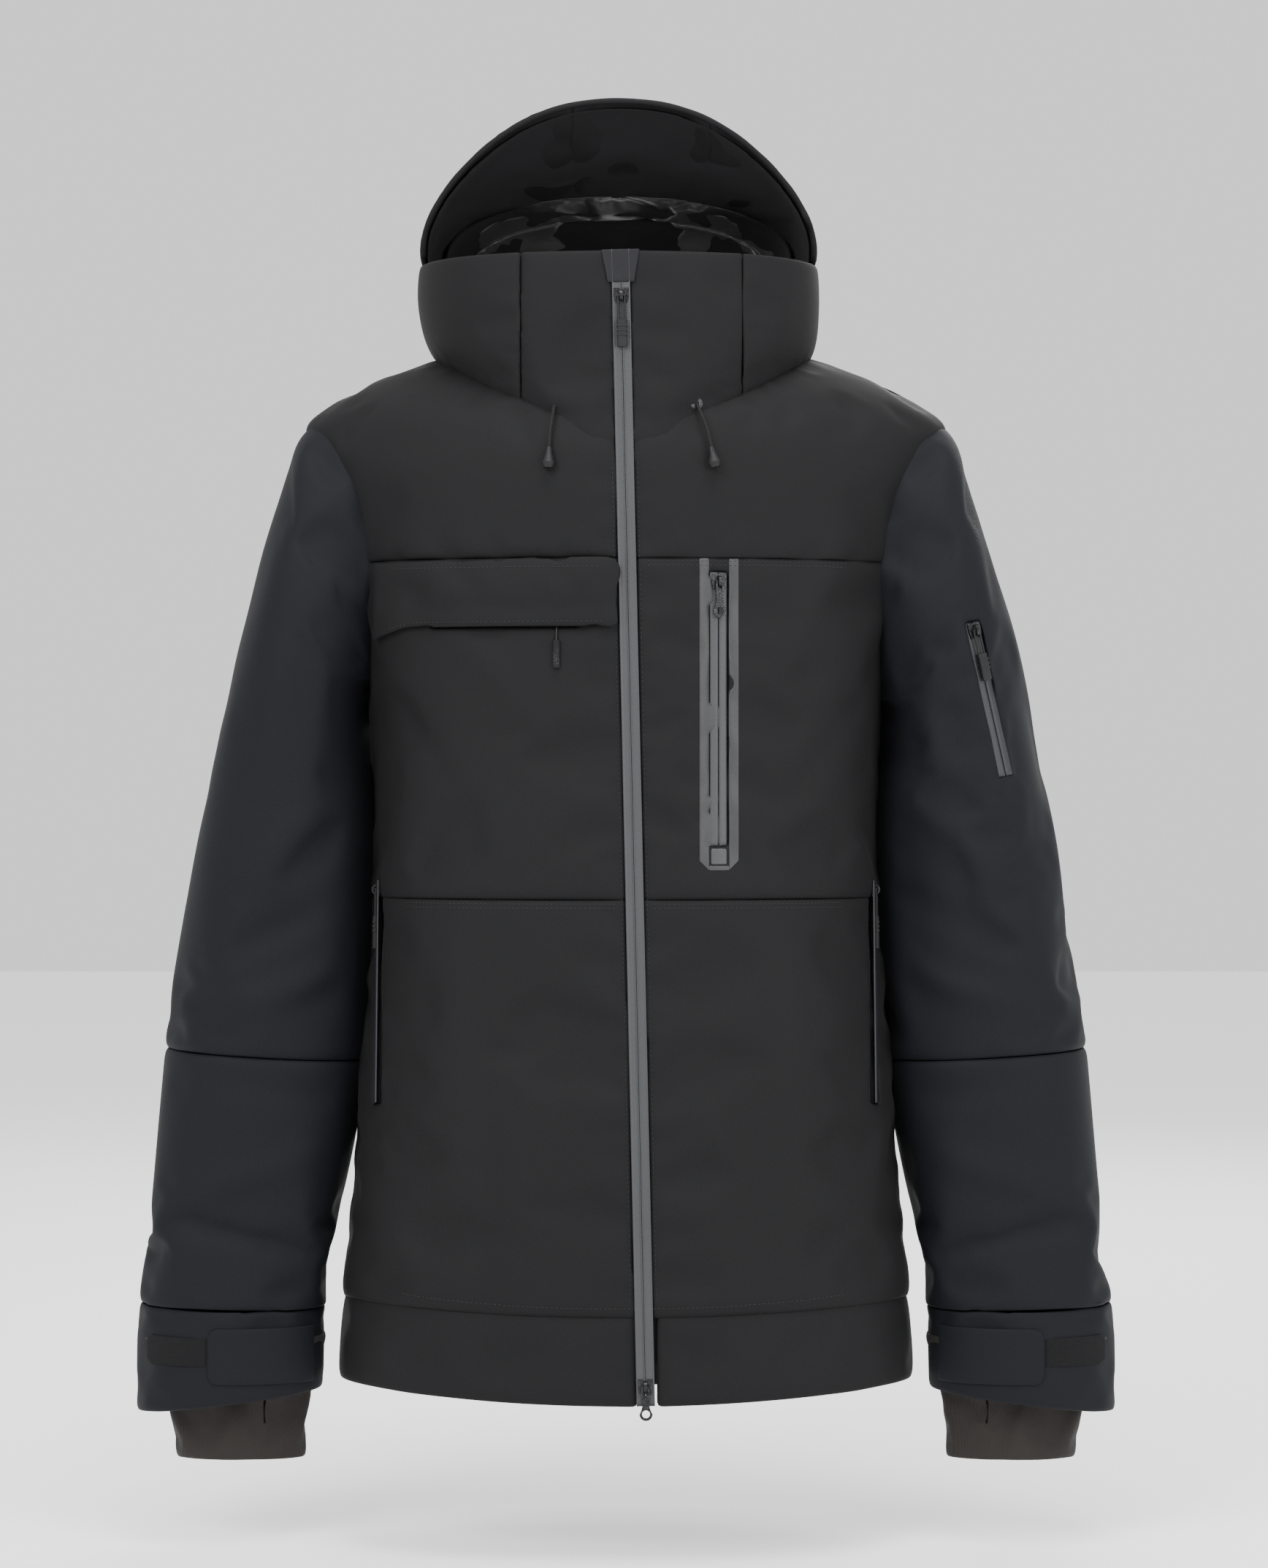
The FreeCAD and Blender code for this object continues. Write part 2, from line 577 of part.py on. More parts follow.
def beside_zip(side):
    """Everything on one side of the leaning zip."""
    x0, x1 = (-BIG, 0.0) if side == "right" else (0.0, BIG)
    return placed(box(x0, x1, -BIG / 2, BIG / 2, -BIG - MAIN_LENGTH, BIG / 2), MAIN_ZIP)


def garage_outline(y0, wall, z_low, slack):
    slope = (GARAGE_HALF - ZIP_HALF) / GARAGE_DEPTH
    top, low = GARAGE_HALF - slack, ZIP_HALF + slope * (GARAGE_DEPTH + z_low) - slack
    face = polygon([(-top, y0, 0), (top, y0, 0), (low, y0, z_low), (-low, y0, z_low)])
    return face.extrude(V(0, wall, 0))


GARAGE_CUT = placed(garage_outline(-20, 40, -GARAGE_DEPTH, 0.0), MAIN_ZIP)
SLEEVE_HOLE = kept(upper_sleeve_form, -SLEEVE_WALL)
SLEEVE_HOLES = [SLEEVE_HOLE, mirrored(SLEEVE_HOLE)]


def zip_cut(frame, length, depth=SHELL_WALL + 1.5):
    return placed(box(-ZIP_HALF, ZIP_HALF, -20, depth, -length, 0), frame)


def front_frame(form, x0, z0, x1, z1):
    """A zip's frame on the front skin, from its top (x0, z0) to its bottom (x1, z1)."""
    top, low = front_point(form, x0, z0), front_point(form, x1, z1)
    aside = front_point(form, x0 + 4.0, z0)
    outward = (aside - top).cross(top - low)
    if outward.y > 0:
        outward = outward * -1
    return zip_frame(top, low, outward)


BODY = kept(body_form, 0.0)
CHEST_ZIP = front_frame(BODY, CHEST_ZIP_X, -CHEST_ZIP_TOP, CHEST_ZIP_X, -CHEST_ZIP_TOP - CHEST_ZIP_LENGTH)


def hand_frame():
    top = skin_point(BODY, -HAND_ZIP_TOP, HAND_BEARING[0])
    low = skin_point(BODY, -HAND_ZIP_TOP - HAND_ZIP_LENGTH, HAND_BEARING[1])
    aside = skin_point(BODY, -HAND_ZIP_TOP, HAND_BEARING[0] + 4.0)
    outward = (aside - top).cross(top - low)
    if outward.x < 0:
        outward = outward * -1
    return zip_frame(top, low, outward)


HAND_ZIP = hand_frame()
HAND_CUT = zip_cut(HAND_ZIP, HAND_ZIP_LENGTH)


def flap_circle():
    """The flap pocket's zip bends round the chest: its centre (x, y) and radius."""
    z = -FLAP_ZIP_DROP
    a, b, c = [front_point(BODY, x, z) for x in (FLAP_ZIP_X0, (FLAP_ZIP_X0 + FLAP_ZIP_X1) / 2, FLAP_ZIP_X1)]
    circle = Part.Arc(a, b, c).toShape().Curve
    return circle.Center, circle.Radius - FLAP_ZIP_SINK


FLAP_CENTRE, FLAP_RADIUS = flap_circle()


def flap_angle(x):
    """Angle round the flap zip's centre, from the front, of the point of it at x."""
    return math.degrees(math.asin((x - FLAP_CENTRE.x) / FLAP_RADIUS))


def flap_ring(depth0, depth1, z0, z1, x0=FLAP_ZIP_X0, x1=FLAP_ZIP_X1):
    """A strip that follows the flap zip, between two depths under its front."""
    base = V(FLAP_CENTRE.x, FLAP_CENTRE.y, -FLAP_ZIP_DROP + z0)
    a0, a1 = flap_angle(x0), flap_angle(x1)
    outer = Part.makeCylinder(FLAP_RADIUS - depth0, z1 - z0, V(0, 0, 0), V(0, 0, 1), a1 - a0)
    inner = Part.makeCylinder(FLAP_RADIUS - depth1, z1 - z0, V(0, 0, 0), V(0, 0, 1), a1 - a0)
    ring = outer.cut(inner)
    ring.rotate(V(0, 0, 0), V(0, 0, 1), a0 - 90)
    ring.translate(base)
    return ring


def flap_slider_frame():
    """The flap zip's slider points to the centre front, across the body."""
    turn = math.radians(flap_angle(FLAP_SLIDER_X))
    outward = V(math.sin(turn), -math.cos(turn), 0)
    along = V(math.cos(turn), math.sin(turn), 0)
    place = FLAP_CENTRE + outward * FLAP_RADIUS
    place.z = -FLAP_ZIP_DROP
    return FreeCAD.Placement(place, FreeCAD.Rotation(along.cross(outward), outward * -1, along, "ZXY"))


def body_panels():
    shell = BODY.cut([kept(body_form, -SHELL_WALL), HEM, kept(collar_form, -SHELL_WALL)] + SLEEVE_HOLES)
    front = shell.common(half_space(-BIG / 2, SIDE_SEAM_Y, -BIG, BIG)).cut([main_gap(ZIP_HALF), FOLD])
    back = shell.common(half_space(SIDE_SEAM_Y, BIG / 2, -BIG, BIG)).cut(FOLD)
    front = front.cut([zip_cut(CHEST_ZIP, CHEST_ZIP_LENGTH), HAND_CUT, mirrored(HAND_CUT),
                       flap_ring(-30.0, SHELL_WALL + 1.5, -ZIP_HALF, ZIP_HALF)])
    levels = [("yoke", BIG, -CHEST_SEAM), ("chest", -CHEST_SEAM, -WAIST_SEAM), ("lower", -WAIST_SEAM, -BIG)]
    for name, z1, z0 in levels:
        band = front.common(half_space(-BIG / 2, BIG / 2, z0, z1))
        for side in ("right", "left"):
            export("front_%s_%s" % (name, side), band.common(beside_zip(side)))
    export("back_yoke", back.common(half_space(0, BIG / 2, -BACK_YOKE, BIG)))
    export("back_panel", back.common(half_space(0, BIG / 2, -BIG, -BACK_YOKE)))
    hem = kept(body_form, -FOLD_PROUD).cut([kept(body_form, -SHELL_WALL), HEM, main_gap(ZIP_HALF)])
    export("hem_band", hem.common(FOLD))


def body_lining():
    layer = kept(body_form, -LINING_OUT).cut([kept(body_form, -LINING_OUT - LINING_WALL), FOLD,
                                              kept(collar_form, -SHELL_WALL),
                                              main_gap(ZIP_HALF + 6.0)] + SLEEVE_HOLES)
    export("body_lining", biggest(layer))


def collar():
    upright = half_space(-BIG / 2, BIG / 2, -BIG, COLLAR_TOP)
    wall = kept(collar_form, 0.0).cut(kept(collar_form, -SHELL_WALL)).cut(BODY)
    wall = wall.cut([above_parting(), main_gap(ZIP_HALF), GARAGE_CUT]).common(upright)
    for side in (-1, 1):
        wall = wall.cut(Part.makeCylinder(EYELET_BORE, 60, V(side * EYELET_X, -130, EYELET_Z), V(0, 1, 0)))
    chin = half_space(-BIG / 2, CORNER_Y, -BIG, BIG, COLLAR_SEAM_RIGHT, COLLAR_SEAM_LEFT)
    for side in ("right", "left"):
        export("collar_front_" + side, biggest(wall.common(chin).common(beside_zip(side))))
    export("collar_back", biggest(wall.cut(chin)))
    inner = kept(collar_form, -SHELL_WALL).cut(kept(collar_form, -SHELL_WALL - INNER_COLLAR_WALL))
    inner = inner.cut([above_parting(), main_gap(ZIP_HALF + 3.0), GARAGE_CUT])
    inner = inner.common(half_space(-BIG / 2, BIG / 2, -NECK_SEAM + 20.0, COLLAR_TOP))
    inset = SHELL_WALL + LINING_WALL + HOOD_PLAY
    high = kept(hood_form, -inset).cut(kept(hood_form, -inset - INNER_COLLAR_WALL)).common(above_parting())
    high = high.common(half_space(CORNER_Y + 30.0, BIG / 2, -BIG, NECK_FACING_TOP))
    export_group("inner_collar", [biggest(inner), biggest(high)])


def hood():
    above = above_parting()
    above.translate(V(0, 0, 1.5 * MOVE_GAP))
    wall = kept(hood_form, 0.0).cut(kept(hood_form, -SHELL_WALL)).common(above).common(behind_opening(0))
    for name, x0, x1 in (("hood_side_right", -BIG / 2, HOOD_SEAM_RIGHT),
                         ("hood_centre", HOOD_SEAM_RIGHT, HOOD_SEAM_LEFT),
                         ("hood_side_left", HOOD_SEAM_LEFT, BIG / 2)):
        export(name, wall.common(half_space(-BIG / 2, BIG / 2, -BIG, BIG, x0, x1)))
    inner = kept(hood_form, -SHELL_WALL).cut(kept(hood_form, -SHELL_WALL - LINING_WALL)).common(above)
    export("hood_lining", inner.common(behind_opening(BRIM_BAND)))
    export("brim_facing", inner.common(behind_opening(0)).cut(behind_opening(BRIM_BAND)))


# ---------------------------------------------------------------- main zip
def main_zip():
    for side, name in ((-1, "right"), (1, "left")):
        export_group("zip_tape_" + name, [placed(tape(side, MAIN_LENGTH, ZIP_HALF), MAIN_ZIP),
                                          placed(coil(side, MAIN_LENGTH), MAIN_ZIP)])
    garage = garage_outline(TAPE_SINK - GARAGE_WALL - 0.1, GARAGE_WALL, -GARAGE_DEPTH + 6.0, 0.3)
    export("zip_garage", placed(garage, MAIN_ZIP))
    back = TAPE_SINK + TAPE_WALL + COIL_WALL + 2 * MOVE_GAP + PLATE_WALL
    strip = box(-WIND_FLAP_HALF, WIND_FLAP_HALF, -30, 60, -MAIN_LENGTH + 26.0, -NECK_SEAM - 70.0)
    export("wind_flap", skin_patch(body_form, placed(strip, MAIN_ZIP), -back - WIND_FLAP_WALL, -back))
    top = V(0, 0, -GARAGE_DEPTH - 2.5)
    export("top_slider", placed(at(slider(), top), MAIN_ZIP))
    export("top_pull", placed(at(cord_pull(*GRIP), top), MAIN_ZIP))
    low = V(0, 0, -MAIN_LENGTH + 14.0)
    export("hem_slider", placed(at(slider(), low), MAIN_ZIP))
    export("hem_pull", placed(at(metal_pull(*HEM_TAB), low), MAIN_ZIP))


def at(shape, place):
    moved = shape.copy()
    moved.translate(place)
    return moved


# ---------------------------------------------------------------- pockets
def pocket_zip(name, frame, length, pull, drop):
    """A pocket's tape, coils, slider and pull; drop is how far down the slider waits."""
    export(name + "_zip", placed(Part.makeCompound([tape(-1, length, ZIP_HALF), tape(1, length, ZIP_HALF),
                                                    coil(-1, length), coil(1, length)]), frame))
    export(name + "_slider", placed(at(slider(), V(0, 0, -drop)), frame))
    export(name + "_pull", placed(at(pull, V(0, 0, -drop)), frame))


def bag(x0, x1, z0, z1, y0=-BIG / 2, y1=0.0):
    prism = box(x0, x1, y0, y1, z0, z1)
    deep = -SHELL_WALL - 1.6
    return skin_patch(body_form, prism, deep - BAG_WALL, deep)


def chest_pocket():
    top, low = -FRAME_TOP, -FRAME_TOP - FRAME_LENGTH
    x, half, inner = CHEST_ZIP_X, FRAME_HALF, FRAME_HALF - FRAME_BAND
    outline = prism_xz([(x - half, top), (x + half, top), (x + half, low + FRAME_BAND), (x + half - FRAME_BAND, low),
                        (x - half + FRAME_BAND, low), (x - half, low + FRAME_BAND)], -BIG / 4, 0)
    window = box(x - inner, x + inner, -BIG / 4, 0, low + FRAME_BAND / 2, top)
    frame = skin_patch(body_form, outline.cut(window), 0.0, FRAME_WALL)
    pocket_zip("chest", CHEST_ZIP, CHEST_ZIP_LENGTH, metal_pull(*METAL_TAB), SLIDER_LENGTH / 2 + 1.0)
    patch = box(x - PATCH_SIZE / 2, x + PATCH_SIZE / 2, -BIG / 4, 0, low + FRAME_BAND / 2 + 0.5,
                low + FRAME_BAND / 2 + 0.5 + PATCH_SIZE)
    export_group("chest_pocket_frame", [frame, skin_patch(body_form, patch, 0.0, FRAME_WALL)])


def flap_pocket():
    ring = []
    for side in (-1, 1):
        z0, z1 = sorted((side * SLOT_HALF, side * ZIP_HALF))
        ring.append(flap_ring(TAPE_SINK, TAPE_SINK + TAPE_WALL, z0, z1))
        z0, z1 = sorted((side * SLOT_HALF, side * (SLOT_HALF + COIL_WIDTH)))
        back = TAPE_SINK + TAPE_WALL
        ring.append(flap_ring(back, back + COIL_WALL, z0, z1))
    export("flap_zip", Part.makeCompound(ring))
    frame = flap_slider_frame()
    length, grip_length, grip_width, grip_wall = GRIP
    pivot = pull_pivot()
    run = length - grip_length
    down = V(-run, -FLAP_PULL_LEAN, 0).normalize()
    cord = Part.makeCylinder(PULL_CORD_R, run + 4.0, V(0, pivot, 0) - down * 2.6, down)
    knot = Part.makeCylinder(PULL_CORD_R + 0.5, 2.2, V(2.0, pivot + 0.25, 0), V(1, 0, 0))
    middle = pivot - FLAP_PULL_LEAN
    grip = box(-length, -run, middle - grip_wall / 2, middle + grip_wall / 2,
               -grip_width / 2, grip_width / 2)
    grip = grip.makeChamfer(GRIP_BEVEL, [e for e in grip.Edges if abs(e.tangentAt(e.FirstParameter).x) > 0.9])
    pull = grip.fuse([cord, knot]).removeSplitter()
    if frame.Rotation.multVec(V(-1, 0, 0)).z > 0:
        pull.rotate(V(0, 0, 0), V(0, 1, 0), 180)
    export_group("flap_slider", [placed(slider(), frame), placed(pull, frame)])
    z = -CHEST_SEAM - 2.0
    outline = prism_xz([(FLAP_X0, z - 2.0), (FLAP_X1, z), (FLAP_X1, z - FLAP_HEIGHT + 1.0),
                        (FLAP_X1 - 4.0, z - FLAP_HEIGHT), (FLAP_X0 + 22.0, z - FLAP_HEIGHT - 2.0),
                        (FLAP_X0, z - FLAP_HEIGHT - 8.0)], -BIG / 4, 0)
    export("chest_flap", skin_patch(body_form, outline, FLAP_STANDOFF, FLAP_STANDOFF + FLAP_WALL))


def hand_pockets():
    for name, flip in (("left", False), ("right", True)):
        pieces = {
            "hand_zip_": Part.makeCompound([tape(-1, HAND_ZIP_LENGTH, ZIP_HALF), tape(1, HAND_ZIP_LENGTH, ZIP_HALF),
                                            coil(-1, HAND_ZIP_LENGTH), coil(1, HAND_ZIP_LENGTH)]),
            "hand_slider_": at(slider(), V(0, 0, -SLIDER_LENGTH / 2 - 1.0)),
            "hand_pull_": at(cord_pull(*HAND_GRIP), V(0, 0, -SLIDER_LENGTH / 2 - 1.0)),
        }
        for prefix, shape in pieces.items():
            shape = placed(shape, HAND_ZIP)
            export(prefix + name, mirrored(shape) if flip else shape)


def pocket_bags():
    """The bags behind the chest, flap and hand pockets, between the shell and the lining."""
    end = -CHEST_ZIP_TOP - CHEST_ZIP_LENGTH
    low = -HAND_ZIP_TOP - HAND_ZIP_LENGTH
    hand = bag(60.0, BIG / 2, low - 20.0, end - BAG_MARGIN - 4.0, y1=-20.0)
    hand = biggest(hand.cut(zip_cut(HAND_ZIP, HAND_ZIP_LENGTH, BAG_MOUTH)))
    chest = bag(CHEST_ZIP_X - BAG_MARGIN - 20.0, CHEST_ZIP_X + 70.0, end - BAG_MARGIN, -CHEST_ZIP_TOP + 6.0)
    flap = bag(FLAP_ZIP_X0 - 6.0, FLAP_ZIP_X1 + 6.0, -FLAP_ZIP_DROP - 150.0, -FLAP_ZIP_DROP + BAG_MARGIN)
    export_group("pocket_bags", [chest.cut(zip_cut(CHEST_ZIP, CHEST_ZIP_LENGTH, BAG_MOUTH)),
                                 flap.cut(flap_ring(-30.0, BAG_MOUTH, -ZIP_HALF, ZIP_HALF)),
                                 hand, mirrored(hand)])


def sleeve_zip_frame():
    z0, b0, z1, b1 = SLEEVE_ZIP
    form = kept(upper_sleeve_form, 0.0)
    top = skin_point(form, -z0, b0, SLEEVE_ZIP_AXIS)
    low = skin_point(form, -z1, b1, SLEEVE_ZIP_AXIS)
    aside = skin_point(form, -z0, b0 + 4.0, SLEEVE_ZIP_AXIS)
    outward = (aside - top).cross(top - low)
    if outward.y > 0:
        outward = outward * -1
    return zip_frame(top, low, outward), (top - low).Length


# ---------------------------------------------------------------- sleeves
def cuff_plane(drop_out, drop_in):
    """Everything under the slanted line across the left sleeve."""
    x_out, x_in = 333.5, 333.5 - 2 * CUFF_HALF
    slope = (drop_in - drop_out) / (x_out - x_in)
    inner_z, outer_z = -drop_out - slope * x_out, -drop_out + slope * (BIG / 2 - x_out)
    return prism_xz([(0.0, inner_z), (BIG / 2, outer_z), (BIG / 2, -BIG), (0.0, -BIG)], -BIG / 2, BIG / 2)


def sleeves():
    upper = kept(upper_sleeve_form, 0.0).cut(kept(upper_sleeve_form, -SLEEVE_WALL))
    for angle in ARMHOLE_EASE:
        torso = kept(body_form, MOVE_GAP).copy()
        torso.rotate(V(SHOULDER_PIVOT[0], 0, SHOULDER_PIVOT[1]), V(0, 1, 0), angle)
        upper = upper.cut(torso)
    upper = biggest(upper)
    frame, length = sleeve_zip_frame()
    shift = V(0, 0, -MOVE_GAP * 1.2)
    lower = kept(lower_sleeve_form, 0.0).cut([kept(lower_sleeve_form, -SLEEVE_WALL),
                                              cuff_plane(SLEEVE_DROP, SLEEVE_DROP - CUFF_SLANT)])
    lid = at(kept(upper_sleeve_form, 20.0), shift)
    lower = lower.cut(lid)
    lower = lower.cut(kept(body_form, MOVE_GAP))
    cuff_cut = cuff_plane(SLEEVE_DROP - CUFF_HEIGHT, SLEEVE_DROP - CUFF_SLANT - CUFF_HEIGHT + 12.0)
    forearm, cuff = biggest(lower.cut(cuff_cut)), biggest(lower.common(cuff_cut))
    tab_top = -SLEEVE_DROP + CUFF_HEIGHT - 13.0
    start = 333.5 - 2 * CUFF_HALF + 6.0
    tab_end = start + TAB_LENGTH - 6.0
    r = 6.0
    flat = box(start, tab_end, -BIG / 4, -14.0, tab_top - TAB_HEIGHT, tab_top)
    flat = flat.makeFillet(r, [e for e in flat.Edges if abs(e.tangentAt(e.FirstParameter).y) > 0.9
                               and e.CenterOfMass.x > tab_end - 1.0])
    tab = skin_patch(lower_sleeve_form, flat, MOVE_GAP, MOVE_GAP + TAB_WALL)
    middle = tab_top - TAB_HEIGHT / 2 + 3.0
    pad = box(tab_end + 1.0, tab_end + 1.0 + LOOP_PAD_LENGTH, -BIG / 4, -14.0,
              middle - LOOP_PAD_HEIGHT / 2, middle + LOOP_PAD_HEIGHT / 2)
    pad = skin_patch(lower_sleeve_form, pad, 0.0, LOOP_PAD_WALL)
    gaiter = wrist_gaiter()
    for name, flip in (("left", False), ("right", True)):
        arm = upper if flip else upper.cut(placed(box(-ZIP_HALF, ZIP_HALF, -20, SLEEVE_WALL + 1.5, -length, 0), frame))
        pieces = {"sleeve_upper_": arm, "sleeve_lower_": forearm, "cuff_": Part.makeCompound([cuff, pad]),
                  "cuff_tab_": tab, "wrist_gaiter_": gaiter}
        for prefix, shape in pieces.items():
            export(prefix + name, mirrored(shape) if flip else shape)
    pocket_zip("sleeve", frame, length, cord_pull(*GRIP), SLIDER_LENGTH / 2 + 1.0)


def gaiter_form(offset):
    end = -SLEEVE_DROP - GAITER_SHOW
    top = -SLEEVE_DROP + GAITER_TUCK
    centre = 333.5 - CUFF_HALF
    rows = [(end, centre - 8.0, GAITER_HALF - 1.5, GAITER_DEPTH, -14.0),
            (-SLEEVE_DROP + 6.0, centre - 6.0, GAITER_HALF + 1.0, GAITER_DEPTH + 1.0, -13.0),
            (top, centre - 1.0, CUFF_HALF + 1.0, 52.0, -9.0)]
    outlines = []
    for z, cx, half, depth, mid in rows:
        outlines.append(level_outline(Station(z, half + offset, mid - depth - offset, mid + depth + offset,
                                              mid, 2.1, cx)))
    return loft(outlines)


def wrist_gaiter():
    tube = kept(gaiter_form, 0.0).cut(kept(gaiter_form, -GAITER_WALL)).common(kept(lower_sleeve_form, -SLEEVE_WALL))
    x = 333.5 - CUFF_HALF - 26.0
    slit = box(x - 0.6, x + 0.6, -BIG / 4, -14.0, -SLEEVE_DROP - 6.0, -SLEEVE_DROP - 6.0 + THUMB_SLIT)
    return biggest(tube.cut(slit))


# ---------------------------------------------------------------- drawcords and hanger loop
def drawcords():
    form = kept(collar_form, 0.0)
    eyelets = []
    for side, name in ((-1, "right"), (1, "left")):
        x = side * EYELET_X
        disc = Part.makeCylinder(EYELET_R, 60, V(x, -130, EYELET_Z), V(0, 1, 0))
        hole = Part.makeCylinder(EYELET_BORE, 60, V(x, -130, EYELET_Z), V(0, 1, 0))
        eyelets.append(skin_patch(collar_form, disc.cut(hole), 0.0, 0.8))
        skin = front_point(form, x, EYELET_Z)
        route = [skin + V(*step) for step in CORD_STEPS[name]]
        export("drawcord_" + name, cord_tube(route, CORD_D / 2))
        export("cord_end_" + name, cord_end(route[-1], route[-1] - route[-2]))
    export_group("eyelets", eyelets)


# how each drawcord hangs from its eyelet: outwards, then down over the chest
CORD_STEPS = {
    "right": [(0, -0.8, 0), (-0.6, -4.6, -4.4), (-1.8, -8.6, -11.5), (-3.0, -11.4, -20.0), (-3.4, -12.6, -29.5)],
    "left": [(0, -0.8, 0), (1.6, -4.6, -4.2), (4.4, -8.6, -11.0), (7.4, -11.4, -19.5), (9.4, -12.6, -29.5)],
}


def cord_tube(points, radius):
    """Straight runs joined by the largest tangent arcs that the runs allow."""
    edges, start = [], points[0]
    for before, corner, after in zip(points, points[1:], points[2:]):
        back, on = (before - corner).normalize(), (after - corner).normalize()
        turn = math.pi - back.getAngle(on)
        cut = 0.45 * min((before - corner).Length, (after - corner).Length)
        bend = cut / math.tan(turn / 2)
        print("bend radius %.1f mm" % bend)
        a, b = corner + back * cut, corner + on * cut
        toward = (back + on).normalize()
        centre = corner + toward * (bend / math.cos(turn / 2))
        edges.append(Part.LineSegment(start, a).toShape())
        edges.append(Part.Arc(a, centre - toward * bend, b).toShape())
        start = b
    edges.append(Part.LineSegment(start, points[-1]).toShape())
    path = Part.Wire(edges)
    ring = Part.Wire(Part.makeCircle(radius, points[0], points[1] - points[0]))
    tube = path.makePipeShell([ring], True, False)
    print("cord %.1f mm, volume ratio %.3f" % (path.Length, tube.Volume / (math.pi * radius ** 2 * path.Length)))
    return tube


def cord_end(place, direction):
    """A bell-shaped end that the cord is knotted into."""
    r, length = CORD_END_WIDTH / 2, CORD_END_LENGTH
    neck = CORD_D / 2 + 0.5
    profile = [(0, 0, 0), (neck, 0, 0), (neck + 0.6, 0, -0.3 * length), (r, 0, -0.75 * length),
               (r * 0.7, 0, -length), (0, 0, -length)]
    bell = polygon(profile).revolve(V(0, 0, 0), V(0, 0, 1), 360)
    return placed(bell, FreeCAD.Placement(place, FreeCAD.Rotation(V(0, 0, -1), direction)))


def hanger_loop():
    """A tape loop inside the back of the collar."""
    form = kept(collar_form, -SHELL_WALL - INNER_COLLAR_WALL)
    z = 8.0
    y1 = skin_point(form, z - 20.0, 180.0).y - 1.0
    ring = Part.makeCylinder(20.0, 1.4, V(0, y1 - 1.4, z), V(0, 1, 0)).cut(
        Part.makeCylinder(15.0, 4.0, V(0, y1 - 3.0, z), V(0, 1, 0)))
    ring = ring.common(half_space(-BIG / 2, BIG / 2, -BIG, z))
    for side in (-1, 1):
        x0, x1 = sorted((side * 15.0, side * 20.0))
        ring = ring.fuse(box(x0, x1, y1 - 1.4, y1 + 30.0, z, z + 5.0).common(form))
    export("hanger_loop", ring.removeSplitter())


body_panels()
body_lining()
collar()
hood()
main_zip()
chest_pocket()
flap_pocket()
hand_pockets()
pocket_bags()
sleeves()
drawcords()
hanger_loop()
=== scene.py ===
# %% [markdown]
# # An insulated ski jacket, hung as if worn
# The jacket comes as a measured frame: every real piece is a named solid at its true place, in
# metres, with +Z up and the front facing -Y.  The frame stays where it is.  Zip sliders and their
# pulls keep their solids and get a finish.  Cloth can't stay a rigid solid, so each soft piece is
# sewn again here: a sheet of small squares is wrapped round the form, its seams are pinned, a cloth
# simulation lets the fabric between them settle, and then it gets thickness, stitches and a weave.

# %% Imports and the frame
import json
import math

import bmesh
import bpy
import numpy as np
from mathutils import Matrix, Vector
from mathutils.bvhtree import BVHTree

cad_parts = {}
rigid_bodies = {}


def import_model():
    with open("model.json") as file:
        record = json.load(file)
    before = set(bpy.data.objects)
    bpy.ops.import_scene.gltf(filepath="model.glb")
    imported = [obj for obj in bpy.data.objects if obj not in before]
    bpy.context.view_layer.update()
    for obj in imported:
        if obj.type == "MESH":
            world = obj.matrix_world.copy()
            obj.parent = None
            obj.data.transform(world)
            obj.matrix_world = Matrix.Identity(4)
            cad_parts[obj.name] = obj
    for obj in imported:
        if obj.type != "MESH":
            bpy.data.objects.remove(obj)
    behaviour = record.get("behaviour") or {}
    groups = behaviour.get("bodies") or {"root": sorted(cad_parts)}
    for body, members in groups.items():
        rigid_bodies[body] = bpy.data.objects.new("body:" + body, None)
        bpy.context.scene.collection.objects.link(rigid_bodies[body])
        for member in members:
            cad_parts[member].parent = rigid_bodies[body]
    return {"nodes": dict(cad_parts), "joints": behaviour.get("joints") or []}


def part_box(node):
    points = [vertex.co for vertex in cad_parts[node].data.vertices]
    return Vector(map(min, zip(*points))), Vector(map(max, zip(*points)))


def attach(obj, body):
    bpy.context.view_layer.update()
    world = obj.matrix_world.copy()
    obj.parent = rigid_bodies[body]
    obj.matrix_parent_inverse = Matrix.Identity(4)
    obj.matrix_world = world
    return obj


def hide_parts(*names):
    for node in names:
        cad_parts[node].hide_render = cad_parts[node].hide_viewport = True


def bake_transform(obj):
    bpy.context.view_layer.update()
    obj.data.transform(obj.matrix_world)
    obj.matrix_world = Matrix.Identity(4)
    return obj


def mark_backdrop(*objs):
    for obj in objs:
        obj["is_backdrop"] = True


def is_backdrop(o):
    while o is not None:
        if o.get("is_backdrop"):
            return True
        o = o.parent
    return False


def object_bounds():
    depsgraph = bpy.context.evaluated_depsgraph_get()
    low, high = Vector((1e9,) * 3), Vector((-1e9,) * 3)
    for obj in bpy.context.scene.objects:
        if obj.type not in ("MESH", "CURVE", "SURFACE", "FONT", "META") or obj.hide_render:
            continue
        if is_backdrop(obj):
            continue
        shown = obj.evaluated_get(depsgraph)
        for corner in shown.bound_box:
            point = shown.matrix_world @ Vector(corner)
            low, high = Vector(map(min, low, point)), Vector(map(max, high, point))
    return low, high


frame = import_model()
CAD_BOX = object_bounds()
JOINTS = {joint["name"]: joint for joint in frame["joints"]}
SCENE = bpy.context.scene
MM = 0.001
